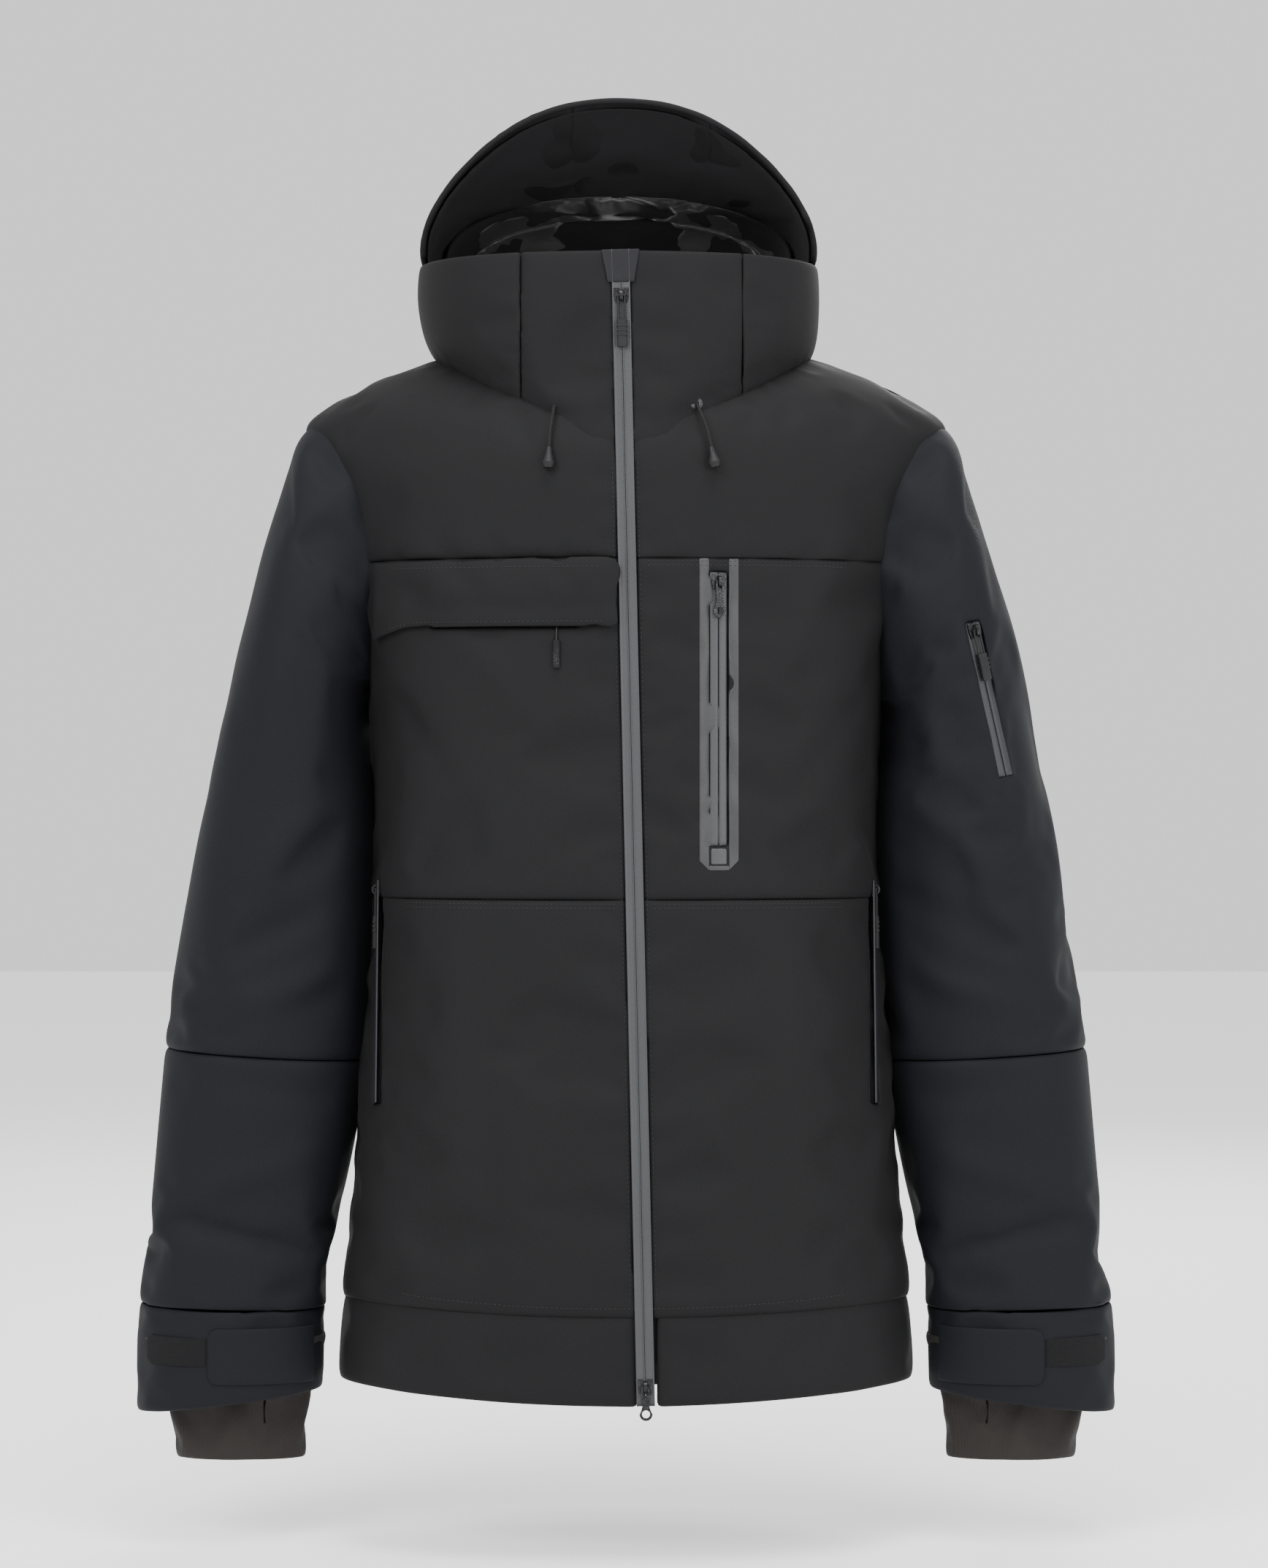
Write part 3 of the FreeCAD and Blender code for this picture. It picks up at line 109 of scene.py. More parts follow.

# %% [markdown]
# ## Shader maths as plain expressions
# A finish is easier to read as a formula than as a web of nodes.  `Wire` wraps one socket and
# overloads + - and *, so `1 - mask * 0.3` adds its own Math nodes.  Colours and vectors never go
# through a Math node, because that turns a colour grey: they use Mix and Vector Math instead.

# %% A socket that can be used in expressions
class Wire:
    def __init__(self, finish, socket):
        self.finish, self.socket = finish, socket

    def math(self, operation, left, right=0.0):
        return self.finish.node("ShaderNodeMath", {"operation": operation}, {0: left, 1: right})

    def __add__(self, other):
        return self.math("ADD", self, other)

    def __sub__(self, other):
        return self.math("SUBTRACT", self, other)

    def __rsub__(self, other):
        return self.math("SUBTRACT", other, self)

    def __mul__(self, other):
        return self.math("MULTIPLY", self, other)

    def __gt__(self, other):
        return self.math("GREATER_THAN", self, other)

    def clipped(self, low, high):
        return self.math("MAXIMUM", self.math("MINIMUM", self, high), low)

    __radd__ = __add__
    __rmul__ = __mul__


class Finish:
    """One procedural material, named for the piece that wears it."""

    def __init__(self, name, **constants):
        self.material = bpy.data.materials.new(name)
        self.material.use_nodes = True
        self.tree = self.material.node_tree
        self.shader = self.tree.nodes["Principled BSDF"]
        for socket, value in constants.items():
            self.shader.inputs[socket.replace("_", " ")].default_value = value

    def node(self, kind, settings=None, sockets=None, output=0):
        made = self.tree.nodes.new(kind)
        for key, value in (settings or {}).items():
            if key == "stops":
                ramp = made.color_ramp
                for place, level in value:
                    ramp.elements.new(place).color = (level, level, level, 1)
                ramp.elements.remove(ramp.elements[0])
                ramp.elements.remove(ramp.elements[-1])
            else:
                setattr(made, key, value)
        for key, value in (sockets or {}).items():
            self.feed(made.inputs[key], value)
        return Wire(self, made.outputs[output])

    def feed(self, socket, value):
        if isinstance(value, Wire):
            self.tree.links.new(value.socket, socket)
        elif isinstance(value, (tuple, list)) and len(value) == 3 and len(socket.default_value) == 4:
            socket.default_value = (*value, 1.0)
        else:
            socket.default_value = value

    def place(self):
        """Where on the piece, in metres."""
        return self.node("ShaderNodeTexCoord", output=3)

    def noise(self, size, detail=3.0, where=None, rough=0.55):
        return self.node("ShaderNodeTexNoise", None, {"Vector": where or self.place(), "Scale": 1.0 / size,
                                                      "Detail": detail, "Roughness": rough})

    def stretched(self, scale):
        """The place with each axis scaled, for threads that run one way."""
        return self.node("ShaderNodeVectorMath", {"operation": "MULTIPLY"}, {0: self.place(), 1: scale})

    def bands(self, direction, pitch, where=None):
        """Even ridges across a direction, one each pitch."""
        phase = self.node("ShaderNodeVectorMath", {"operation": "DOT_PRODUCT"},
                          {0: where or self.place(), 1: direction}, output=1)
        return phase.math("SINE", phase * (2 * math.pi / pitch)) * 0.5 + 0.5

    def mixed(self, share, first, second):
        mix = self.tree.nodes.new("ShaderNodeMix")
        mix.data_type = "RGBA"
        self.feed(mix.inputs[0], share)
        self.feed(mix.inputs[6], first)
        self.feed(mix.inputs[7], second)
        return Wire(self, mix.outputs[2])

    def relief(self, height, depth, strength=1.0):
        bump = self.node("ShaderNodeBump", None, {"Height": height, "Distance": depth, "Strength": strength})
        self.wear("Normal", bump)

    def wear(self, socket, value):
        self.feed(self.shader.inputs[socket], value)


print("shader maths ready")

# %% [markdown]
# ## The fabrics
# Body and sleeves are a dense, matt polyester twill with a water-repellent face: nearly black, a
# faint sheen at grazing angles, and diagonal ribs about 0.7 mm apart.  The sleeves are cut from a
# slightly bluer roll.  Colour varies a little where the cloth has been handled.

# %% Twill for the body and the sleeves
def twill(name, deep, lit, sheen):
    cloth = Finish(name, Sheen_Weight=sheen, Sheen_Roughness=0.45, Specular_IOR_Level=0.14)
    weave = cloth.bands((0.75, 0.35, 0.66), 0.9 * MM) * 0.6 + cloth.bands((-0.5, 0.3, 0.8), 0.62 * MM) * 0.4
    fibre = cloth.noise(0.35 * MM, 2.0)
    handled = cloth.noise(90 * MM, 4.0)
    shade = (handled * 0.7 + weave * 0.15 + fibre * 0.15).clipped(0.0, 1.0)
    cloth.wear("Base Color", cloth.mixed(shade, deep, lit))
    cloth.wear("Roughness", 0.62 + handled * 0.12 + fibre * 0.08)
    cloth.relief(weave * 0.7 + fibre * 0.5, 0.12 * MM, 0.7)
    return cloth.material


BODY_TWILL = twill("body_twill", (0.0034, 0.0034, 0.0038), (0.0078, 0.0078, 0.0086), 0.010)
SLEEVE_TWILL = twill("sleeve_twill", (0.0026, 0.0029, 0.0043), (0.0058, 0.0063, 0.0086), 0.010)
print("twills:", BODY_TWILL.name, SLEEVE_TWILL.name)

# %% [markdown]
# The lining is a thin satin that creases sharply and shines; the chin, neck and brim facings are
# brushed and matt; the wrist gaiters are a fine stretch jersey with upright ribs.

# %% Satin, brushed facing and jersey
def satin():
    cloth = Finish("lining_satin", Specular_IOR_Level=0.6, Sheen_Weight=0.05)
    threads = cloth.noise(1.0, 2.0, cloth.stretched((900.0, 900.0, 160.0)))
    blotch = cloth.noise(26 * MM, 3.0)
    cloth.wear("Base Color", cloth.mixed((blotch * 0.8).clipped(0.0, 1.0),
                                         (0.016, 0.0155, 0.0155), (0.036, 0.034, 0.033)))
    cloth.wear("Roughness", 0.27 + blotch * 0.12 + threads * 0.06)
    cloth.relief(threads * 0.5 + blotch, 0.25 * MM, 0.5)
    return cloth.material


def brushed():
    cloth = Finish("brushed_facing", Sheen_Weight=0.03, Sheen_Roughness=0.6, Specular_IOR_Level=0.12)
    nap = cloth.noise(0.5 * MM, 4.0) * 0.6 + cloth.noise(2.2 * MM, 3.0) * 0.4
    cloth.wear("Base Color", cloth.mixed(nap, (0.0032, 0.0032, 0.0038), (0.0085, 0.0085, 0.0095)))
    cloth.wear("Roughness", 0.86 + nap * 0.1)
    cloth.relief(nap, 0.3 * MM, 0.7)
    return cloth.material


def jersey():
    cloth = Finish("gaiter_jersey", Sheen_Weight=0.03, Sheen_Roughness=0.5, Specular_IOR_Level=0.2)
    ribs = cloth.bands((0.94, 0.34, 0.0), 1.5 * MM)
    rows = cloth.bands((0.1, 0.1, 1.0), 1.1 * MM)
    fuzz = cloth.noise(0.6 * MM, 3.0)
    shade = cloth.noise(28 * MM, 3.0)
    tone = (ribs * 0.3 + fuzz * 0.3 + shade * 0.4).clipped(0.0, 1.0)
    cloth.wear("Base Color", cloth.mixed(tone, (0.0085, 0.0072, 0.0064), (0.021, 0.0180, 0.0162)))
    cloth.wear("Roughness", 0.72 + fuzz * 0.15)
    cloth.relief(ribs * 0.6 + rows * 0.3 + fuzz * 0.4, 0.25 * MM, 0.8)
    return cloth.material


SATIN, BRUSHED, JERSEY = satin(), brushed(), jersey()
print("facings:", SATIN.name, BRUSHED.name, JERSEY.name)

# %% [markdown]
# The zips are grey, film-coated tapes over hidden coils, and the coil's turns show through as fine
# ridges beside the centre line.  Sliders are lacquered zinc, rubbed at the edges; pull grips and
# cord ends are moulded rubber; cords are braided; the loop pads are a black fuzz of tiny loops.

# %% Zip, trim, metal, rubber, cord, thread and loop finishes
def coated_tape(name, deep, lit):
    tape = Finish(name, Specular_IOR_Level=0.45, Coat_Roughness=0.35)
    turns = tape.bands((0.25, 0.0, 1.0), 1.3 * MM)
    grain = tape.noise(0.8 * MM, 3.0)
    shade = tape.noise(60 * MM, 3.0)
    tape.wear("Base Color",
              tape.mixed((shade * 0.7 + turns * 0.15 + grain * 0.15).clipped(0.0, 1.0), deep, lit))
    tape.wear("Roughness", 0.42 + grain * 0.15)
    tape.relief(turns * 0.8 + grain * 0.3, 0.10 * MM, 0.7)
    return tape.material


def lacquer():
    metal = Finish("black_lacquer", Specular_IOR_Level=0.6, Coat_Roughness=0.15)
    pits = metal.noise(0.7 * MM, 4.0)
    rubbed = metal.node("ShaderNodeNewGeometry", output=7)
    edge = metal.node("ShaderNodeValToRGB", {"stops": [(0.50, 0.0), (0.58, 1.0)]}, {"Fac": rubbed})
    worn = edge * (pits > 0.55)
    metal.wear("Base Color", metal.mixed(worn * 0.5, (0.010, 0.010, 0.011), (0.10, 0.10, 0.105)))
    metal.wear("Metallic", 0.75 + worn * 0.2)
    metal.wear("Roughness", 0.30 + pits * 0.15)
    metal.relief(pits, 0.05 * MM, 0.4)
    return metal.material


def rubber(name, deep, lit, rough):
    moulded = Finish(name, Specular_IOR_Level=0.25)
    spark = moulded.noise(0.4 * MM, 3.0)
    shade = moulded.noise(6 * MM, 3.0)
    moulded.wear("Base Color", moulded.mixed(shade, deep, lit))
    moulded.wear("Roughness", rough + spark * 0.15)
    moulded.relief(spark, 0.06 * MM, 0.6)
    return moulded.material


def braid():
    cord = Finish("braided_cord", Sheen_Weight=0.01, Specular_IOR_Level=0.2)
    plait = cord.bands((0.7, 0.7, 0.9), 0.9 * MM) * cord.bands((-0.7, -0.7, 0.9), 0.9 * MM)
    shade = cord.noise(4 * MM, 3.0)
    cord.wear("Base Color", cord.mixed((plait * 0.6 + shade * 0.4).clipped(0.0, 1.0),
                                       (0.0030, 0.0030, 0.0035), (0.010, 0.010, 0.011)))
    cord.wear("Roughness", 0.6 + shade * 0.2)
    cord.relief(plait, 0.2 * MM, 0.9)
    return cord.material


def loops():
    pad = Finish("loop_pad", Sheen_Weight=0.01, Specular_IOR_Level=0.1)
    tufts = pad.noise(0.9 * MM, 5.0, None, 0.75)
    pad.wear("Base Color", pad.mixed(tufts, (0.0025, 0.0025, 0.003), (0.016, 0.016, 0.017)))
    pad.wear("Roughness", 0.9 + tufts * 0.1)
    pad.relief(tufts, 1.2 * MM, 1.0)
    return pad.material


TAPE = coated_tape("zip_tape", (0.020, 0.0205, 0.0225), (0.032, 0.033, 0.036))
FILM = coated_tape("pocket_film", (0.0125, 0.0127, 0.0135), (0.021, 0.0212, 0.0225))
DARK_TAPE = coated_tape("dark_tape", (0.0055, 0.006, 0.0075), (0.011, 0.012, 0.0155))
LACQUER = lacquer()
RUBBER = rubber("moulded_rubber", (0.0035, 0.0035, 0.004), (0.009, 0.009, 0.010), 0.45)
GARAGE_FILM = rubber("garage_film", (0.0022, 0.0022, 0.0034), (0.005, 0.005, 0.007), 0.55)
THREAD = rubber("sewing_thread", (0.004, 0.004, 0.005), (0.012, 0.012, 0.013), 0.5)
BRAID, LOOPS = braid(), loops()
print("trims:", len(bpy.data.materials), "materials so far")

# %% [markdown]
# ## Forms: how a garment's shape is written down
# A pattern cutter knows a jacket by its girths: how wide and how deep it is at the hem, the waist,
# the chest and the shoulder.  Each form below is such a table in millimetres.  Between the rows the
# sizes flow on a smooth curve, and round each girth the points sit at even spacing, so the cloth's
# little squares stay square.

# %% Girth tables for body, collar, hood, sleeve and gaiter
def front_line(z):
    return -(110.0 + 14.0 * (66.0 - z) / 762.0)


BODY_ROWS = [(-744, 198, front_line(-744), 118, 0, 2.4, 0), (-696, 197, front_line(-696), 118, 0, 2.4, 0),
             (-520, 182, front_line(-520), 111, 0, 2.4, 0), (-345, 171, front_line(-345), 104, 0, 2.4, 0),
             (-212, 178, front_line(-212), 112, 0, 2.4, 0), (-130, 194, front_line(-130), 112, 0, 2.1, 0),
             (-64, 214, front_line(-64), 106, 0, 1.85, 0), (-44, 219, -108, 99, 0, 1.75, 0),
             (-30, 204, -98, 90, 0, 1.7, 0), (-15, 178, -84, 80, 0, 1.7, 0),
             (0, 138, -68, 70, 0, 1.8, 0), (10, 102, -54, 58, 0, 2.0, 0)]
COLLAR_ROWS = [(-94, 66, -79, 40, -5, 2.2, 0), (-64, 88, front_line(-64), 62, -5, 2.2, 0),
               (-40, 101, front_line(-40), 73, -5, 2.2, 0), (-15, 117, front_line(-15), 85, -5, 2.2, -1),
               (10, 131, front_line(10), 92, -5, 2.2, -3), (40, 136, front_line(40), 96, -5, 2.2, -5),
               (70, 135, front_line(70), 96, -5, 2.2, -5), (96, 135, front_line(96), 96, -5, 2.2, -5)]
HOOD_ROWS = [(-72, 135, -15, 188, 75), (-50, 135, -15, 176, 75), (-30, 135, -15, 158, 75),
             (-5, 135, -15, 136, 75),
             (40, 123, -15, 122, 75), (75, 90, 5, 109, 67.8), (90, 51, 5, 96, 63), (96, 23, 5, 84, 63)]
UPPER_ROWS = [(198, -30, 146, -174, 56, 4), (223.5, -50, 160, -194, 68, 4), (241, -95, 169, -210, 75, 3),
              (260.5, -168, 177, -229, 76, 2), (276, -238, 178.5, -260, 73, 2), (292, -322, 176, -324, 69, 3),
              (313.6, -467.2, 181.7, -475.2, 62.9, 5)]
LOWER_ROWS = [(313.5, -466, 181.5, -474, 63, 5), (325, -579.5, 195.5, -578, 56, -2),
              (331.5, -639, 204.5, -636, 51, -8), (333.5, -712, 206.5, -697, 47, -13)]
GAITER_ROWS = [(-744, 44.5, -38, 10, -14, 2.1, 262), (-706, 47, -38, 12, -13, 2.1, 264),
               (-660, 64.5, -61, 43, -9, 2.1, 269)]


def girth(u_half, low, mid, high, power):
    """Offsets round one girth, evenly spaced, starting on the wearer's left."""
    turn = np.linspace(0, 2 * math.pi, 721)
    c, s = np.cos(turn), np.sin(turn)
    u = np.sign(c) * np.abs(c) ** (2 / power) * u_half
    v = np.sign(s) * np.abs(s) ** (2 / power)
    return u, np.where(v > 0, mid + v * (high - mid), mid + v * (mid - low))


def level_ring(row, offset):
    z, half, front, back, mid, power, centre = row
    u, v = girth(half + offset, front - offset, mid, back + offset, power)
    return np.column_stack([u + centre, v, np.full_like(u, z)])


def hood_ring(row, offset):
    y, half, floor, crown, mid = row
    u, v = girth(half + offset, floor - offset, mid, crown + offset, 2.2)
    return np.column_stack([u - 5.0, np.full_like(u, y + offset * (y > 60)), v])


def sleeve_ring(row, offset):
    x_out, z_out, x_in, z_in, depth, y_mid = row
    half = math.hypot(x_out - x_in, z_out - z_in) / 2
    u, v = girth(half + offset, -depth - offset, 0.0, depth + offset, 2.1)
    across = np.array([x_out - x_in, 0.0, z_out - z_in]) / (2 * half)
    middle = np.array([(x_out + x_in) / 2, y_mid, (z_out + z_in) / 2])
    return middle + u[:, None] * across + v[:, None] * np.array([0.0, 1.0, 0.0])


def flowing(rows, cell):
    """The table's rows with many smooth ones between them, a cell apart."""
    table = np.array(rows, float)
    reach = np.linalg.norm(np.diff(table[:, :4], axis=0), axis=1).cumsum()
    place = np.concatenate([[0.0], reach])
    slope = np.gradient(table, place, axis=0)
    out = []
    for i in range(len(table) - 1):
        gap = place[i + 1] - place[i]
        for t in np.arange(0, 1, 1.0 / max(1, round(gap / cell))):
            a, b = (1 + 2 * t) * (1 - t) ** 2, t * (1 - t) ** 2
            c, d = t * t * (3 - 2 * t), t * t * (t - 1)
            out.append(a * table[i] + b * gap * slope[i] + c * table[i + 1] + d * gap * slope[i + 1])
    return out + [table[-1]]


def even(ring, count):
    length = np.concatenate([[0.0], np.linalg.norm(np.diff(ring, axis=0), axis=1).cumsum()])
    wanted = np.linspace(0, length[-1], count + 1)[:-1]
    return np.column_stack([np.interp(wanted, length, ring[:, k]) for k in range(3)])


def between(rows, low, high):
    """Only the rows whose first size lies between two values, with one exactly at each end."""
    rows = sorted((tuple(row) for row in rows), key=lambda row: row[0])
    table = np.array(rows)
    ends = [np.array([np.interp(z, table[:, 0], table[:, k]) for k in range(table.shape[1])])
            for z in (max(low, table[0, 0]), min(high, table[-1, 0]))]
    inner = [row for row in table if ends[0][0] + 1.5 < row[0] < ends[1][0] - 1.5]
    return [ends[0]] + inner + [ends[1]]


def skin(rows, ring, offset=0.0, cell=6.5, span=None, mirror=False, warp=None):
    """The cloth of a whole form: a tube of small squares, in metres, its faces looking outwards."""
    flow = flowing(rows, cell)
    if span:
        flow = between(flow, *span)
    rings = [ring(row, offset) for row in flow]
    around = int(max(np.linalg.norm(np.diff(r, axis=0), axis=1).sum() for r in rings) / cell)
    points = np.array([even(r, around) for r in rings])
    if warp:
        points = warp(points)
    if mirror:
        points = points * np.array([-1.0, 1.0, 1.0])
    bm = bmesh.new()
    verts = [[bm.verts.new(p * MM) for p in row] for row in points]
    for low, high in zip(verts, verts[1:]):
        for i in range(around):
            bm.faces.new([low[i], low[i - 1], high[i - 1], high[i]])
    bm.normal_update()
    middle = sum((v.co for v in verts[len(verts) // 2]), Vector()) / around
    probe = verts[len(verts) // 2][0].link_faces[0]
    if (probe.calc_center_median() - middle).dot(probe.normal) < 0:
        bmesh.ops.reverse_faces(bm, faces=bm.faces)
    return bm


def hem_warp(points):
    """The hem dips at the centre back and rises at the side seams."""
    x, y, z = points[..., 0], points[..., 1], points[..., 2]
    share = np.clip((-480.0 - z) / 157.0, 0, 1)
    share = share * share * (3 - 2 * share)
    rise = 11.0 + 3.0 * np.clip((-637.0 - z) / 59.0, 0, 1)
    lift = rise * (x / 197.0) ** 2 - 18.0 / 242.0 * (124.0 + y)
    points[..., 2] = z + share * lift
    return points


print("forms:", len(BODY_ROWS), "body girths,", len(UPPER_ROWS) + len(LOWER_ROWS), "sleeve girths")

# %% [markdown]
# ## Cutting, folding and sewing
# A panel is cut out of its form with straight cuts.  Soft folds are pressed in where gravity and the
# seams make them: each is a line with a width and a depth.  Then the seams are pinned and the cloth
# simulation lets the slightly too long fabric buckle between them, and the edges are rolled under,
# so that a real valley shows at every seam.

# %% Helpers that turn a form into a sewn panel
def cut(bm, point, outward):
    """Throw away what lies on the outward side of a plane."""
    geometry = bm.verts[:] + bm.edges[:] + bm.faces[:]
    bmesh.ops.bisect_plane(bm, geom=geometry, plane_co=Vector(point) * MM,
                           plane_no=Vector(outward).normalized(),
                           dist=1e-6, clear_outer=True)
    return bm


def slot(bm, top, down, across, length, half=5.9, reach=12.0):
    """Cut a zip's slot: a long narrow window beside a line."""
    top, down, across = Vector(top), Vector(down).normalized(), Vector(across).normalized()
    out = across.cross(down)
    sides = [(top + across * half * MM, across), (top - across * half * MM, -across),
             (top, -down), (top + down * length * MM, down)]

    def near(face, grow):
        at = face.calc_center_median() - top
        return (abs(at.dot(across)) < (half + grow) * MM and -grow * MM < at.dot(down) < (length + grow) * MM
                and abs(at.dot(out)) < 0.03)
    for point, normal in sides:
        faces = [f for f in bm.faces if near(f, reach)]
        edges = list({e for f in faces for e in f.edges})
        verts = list({v for f in faces for v in f.verts})
        bmesh.ops.bisect_plane(bm, geom=verts + edges + faces, plane_co=point, plane_no=normal, dist=1e-5)
    bmesh.ops.delete(bm, geom=[f for f in bm.faces if near(f, 0.0)], context="FACES")


def drop_inside(bm, tree, depth):
    """Throw away cloth that is hidden more than depth inside another form."""
    gone = []
    for face in bm.faces:
        at = face.calc_center_median()
        place, normal, index, distance = tree.find_nearest(at)
        if (at - place).dot(normal) < -depth * MM:
            gone.append(face)
    bmesh.ops.delete(bm, geom=gone, context="FACES")


QUIET = [((61.5, -111, -140), (61.5, -112, -345)), ((169, -36, -350), (173, -64, -565)),
         ((-169, -36, -350), (-173, -64, -565)), ((234, -69, -178), (257, -62, -285)),
         ((-130, -108, -176), (-32, -112, -176))]


def calm(at):
    """Folds die out near a pocket zip, whose stiff tape holds the cloth flat."""
    nearest = 1.0
    for start, end in QUIET:
        a, run = Vector(start) * MM, (Vector(end) - Vector(start)) * MM
        t = max(0.0, min(1.0, (at - a).dot(run) / run.length_squared))
        nearest = min(nearest, (at - a - run * t).length)
    return max(0.0, min(1.0, (nearest - 10 * MM) / (18 * MM)))


def press_folds(bm, folds):
    """Each fold: two ends, half width and depth in mm.  A positive depth stands out as a roll."""
    bm.normal_update()
    for start, end, width, depth in folds:
        a, b = Vector(start) * MM, Vector(end) * MM
        run = b - a
        for vert in bm.verts:
            t = max(0.0, min(1.0, (vert.co - a).dot(run) / run.length_squared))
            away = (vert.co - a - run * t).length / (width * MM)
            if away < 3.0:
                fade = math.sin(math.pi * max(0.03, min(0.97, 0.12 + 0.76 * t)))
                fade *= calm(vert.co)
                dip = 1.0 - 1.1 * away * away * 0.55       # each fold has a shallow valley beside it
                vert.co += vert.normal * (depth * MM * fade * dip * math.exp(-away * away))


def mesh_object(name, bm, material):
    mesh = bpy.data.meshes.new(name)
    bm.to_mesh(mesh)
    bm.free()
    mesh.materials.append(material)
    obj = bpy.data.objects.new(name, mesh)
    SCENE.collection.objects.link(obj)
    return obj


WAITING = []
PLACE = {}


def panel(name, bm, material, wall, growth=0.018, stiff=3.0, press=0.0, roll=0.5, limit=6.0):
    """A piece of cloth that waits for the simulation."""
    bmesh.ops.remove_doubles(bm, verts=bm.verts, dist=0.0004)
    obj = mesh_object(name, bm, material)
    WAITING.append((obj, dict(wall=wall, growth=growth, stiff=stiff, press=press, roll=roll, limit=limit)))
    return obj


def coordinates(mesh):
    flat = np.empty(len(mesh.vertices) * 3)
    mesh.vertices.foreach_get("co", flat)
    return flat.reshape(-1, 3)


def rims(mesh):
    """The vertices on open edges, and their neighbours."""
    bm = bmesh.new()
    bm.from_mesh(mesh)
    edge = {v.index for e in bm.edges if e.is_boundary for v in e.verts}
    beside = {e.other_vert(v).index for v in bm.verts if v.index in edge for e in v.link_edges} - edge
    bm.free()
    return sorted(edge), sorted(beside)


def settle(frames=16):
    """Run the cloth for every waiting panel at once, then keep the settled shape."""
    for obj, made in WAITING:
        edge, beside = rims(obj.data)
        made["edge"], made["beside"] = edge, beside
        group = obj.vertex_groups.new(name="seam")
        group.add(edge, 1.0, "REPLACE")
        cloth = obj.modifiers.new("drape", "CLOTH")
        cloth.settings.quality = 5
        cloth.settings.mass = 0.25
        cloth.settings.tension_stiffness = cloth.settings.compression_stiffness = 12.0
        cloth.settings.shear_stiffness = 6.0
        cloth.settings.bending_stiffness = made["stiff"]
        cloth.settings.vertex_group_mass = "seam"
        cloth.settings.shrink_min = -made["growth"]
        cloth.settings.effector_weights.gravity = 0.0
        if made["press"]:
            cloth.settings.use_pressure = True
            cloth.settings.uniform_pressure_force = made["press"]
        cloth.collision_settings.use_collision = False
        cloth.point_cache.frame_start, cloth.point_cache.frame_end = 1, frames
    for step in range(1, frames + 1):
        SCENE.frame_set(step)
    layer = bpy.context.evaluated_depsgraph_get()
    settled = []
    for obj, made in WAITING:
        settled.append(coordinates(obj.evaluated_get(layer).data))
    for (obj, made), after in zip(WAITING, settled):
        obj.modifiers.clear()
        obj.vertex_groups.clear()
        before = coordinates(obj.data)
        move = after - before
        size = np.linalg.norm(move, axis=1, keepdims=True)
        move *= np.minimum(1.0, made["limit"] * MM / np.maximum(size, 1e-9))
        obj.data.vertices.foreach_set("co", (before + move).ravel())
    SCENE.frame_set(1)
    for obj, made in WAITING:
        thicken(obj, made)


def thicken(obj, made):
    """Roll the edges under, give the cloth its thickness inwards, and round it once."""
    mesh = obj.data
    normals = np.array([v.normal[:] for v in mesh.vertices])
    points = coordinates(mesh)
    points[made["edge"]] -= normals[made["edge"]] * made["roll"] * MM
    points[made["beside"]] -= normals[made["beside"]] * made["roll"] * 0.15 * MM
    mesh.vertices.foreach_set("co", points.ravel())
    wall = obj.modifiers.new("wall", "SOLIDIFY")
    wall.thickness = made["wall"] * MM
    wall.offset = -1.0
    rounding = obj.modifiers.new("rounding", "SUBSURF")
    rounding.levels = rounding.render_levels = 1
    bake(obj)


def bake(obj):
    layer = bpy.context.evaluated_depsgraph_get()
    layer.update()
    final = bpy.data.meshes.new_from_object(obj.evaluated_get(layer))
    obj.modifiers.clear()
    old = obj.data
    obj.data = final
    bpy.data.meshes.remove(old)
    obj.data.name = obj.name
    obj.data.shade_smooth()


print("sewing tools ready")

# %% [markdown]
# ## The body
# The shell is cut in yoke, chest and lower fronts, a back yoke and a back panel, with the hem band
# set in behind the fold of the lower fronts.  The fronts part along the leaning zip; the fabric is
# long enough to ease in soft upright folds from the chest to the hem.

# %% Places of the zips, read from their sliding joints
def joint_axis(name):
    return Vector(JOINTS[name]["axis"]).normalized()


def joint_place(name):
    return Vector(JOINTS[name]["pos_m"])


MAIN_DOWN = joint_axis("main_zip_top")
MAIN_ACROSS = joint_axis("top_pull_swing")
if MAIN_ACROSS.x < 0:
    MAIN_ACROSS = -MAIN_ACROSS
MAIN_OUT = MAIN_DOWN.cross(MAIN_ACROSS)
if MAIN_OUT.y > 0:
    MAIN_OUT = -MAIN_OUT
MAIN_TOP = joint_place("top_pull_swing") - MAIN_OUT * 3.0 * MM
MAIN_TOP -= MAIN_DOWN * ((66.0 * MM - MAIN_TOP.z) / MAIN_DOWN.z * -1.0)
MAIN_MM = [c / MM for c in MAIN_TOP]
print("main zip runs from", [round(c) for c in MAIN_MM], "along", [round(c, 3) for c in MAIN_DOWN])


def zip_slot(bm, swing, slide, above, length):
    """A slot for a pocket zip whose slider waits a little below its top."""
    down, across = joint_axis(slide), joint_axis(swing)
    slot(bm, joint_place(swing) - down * above * MM, down, across, length)


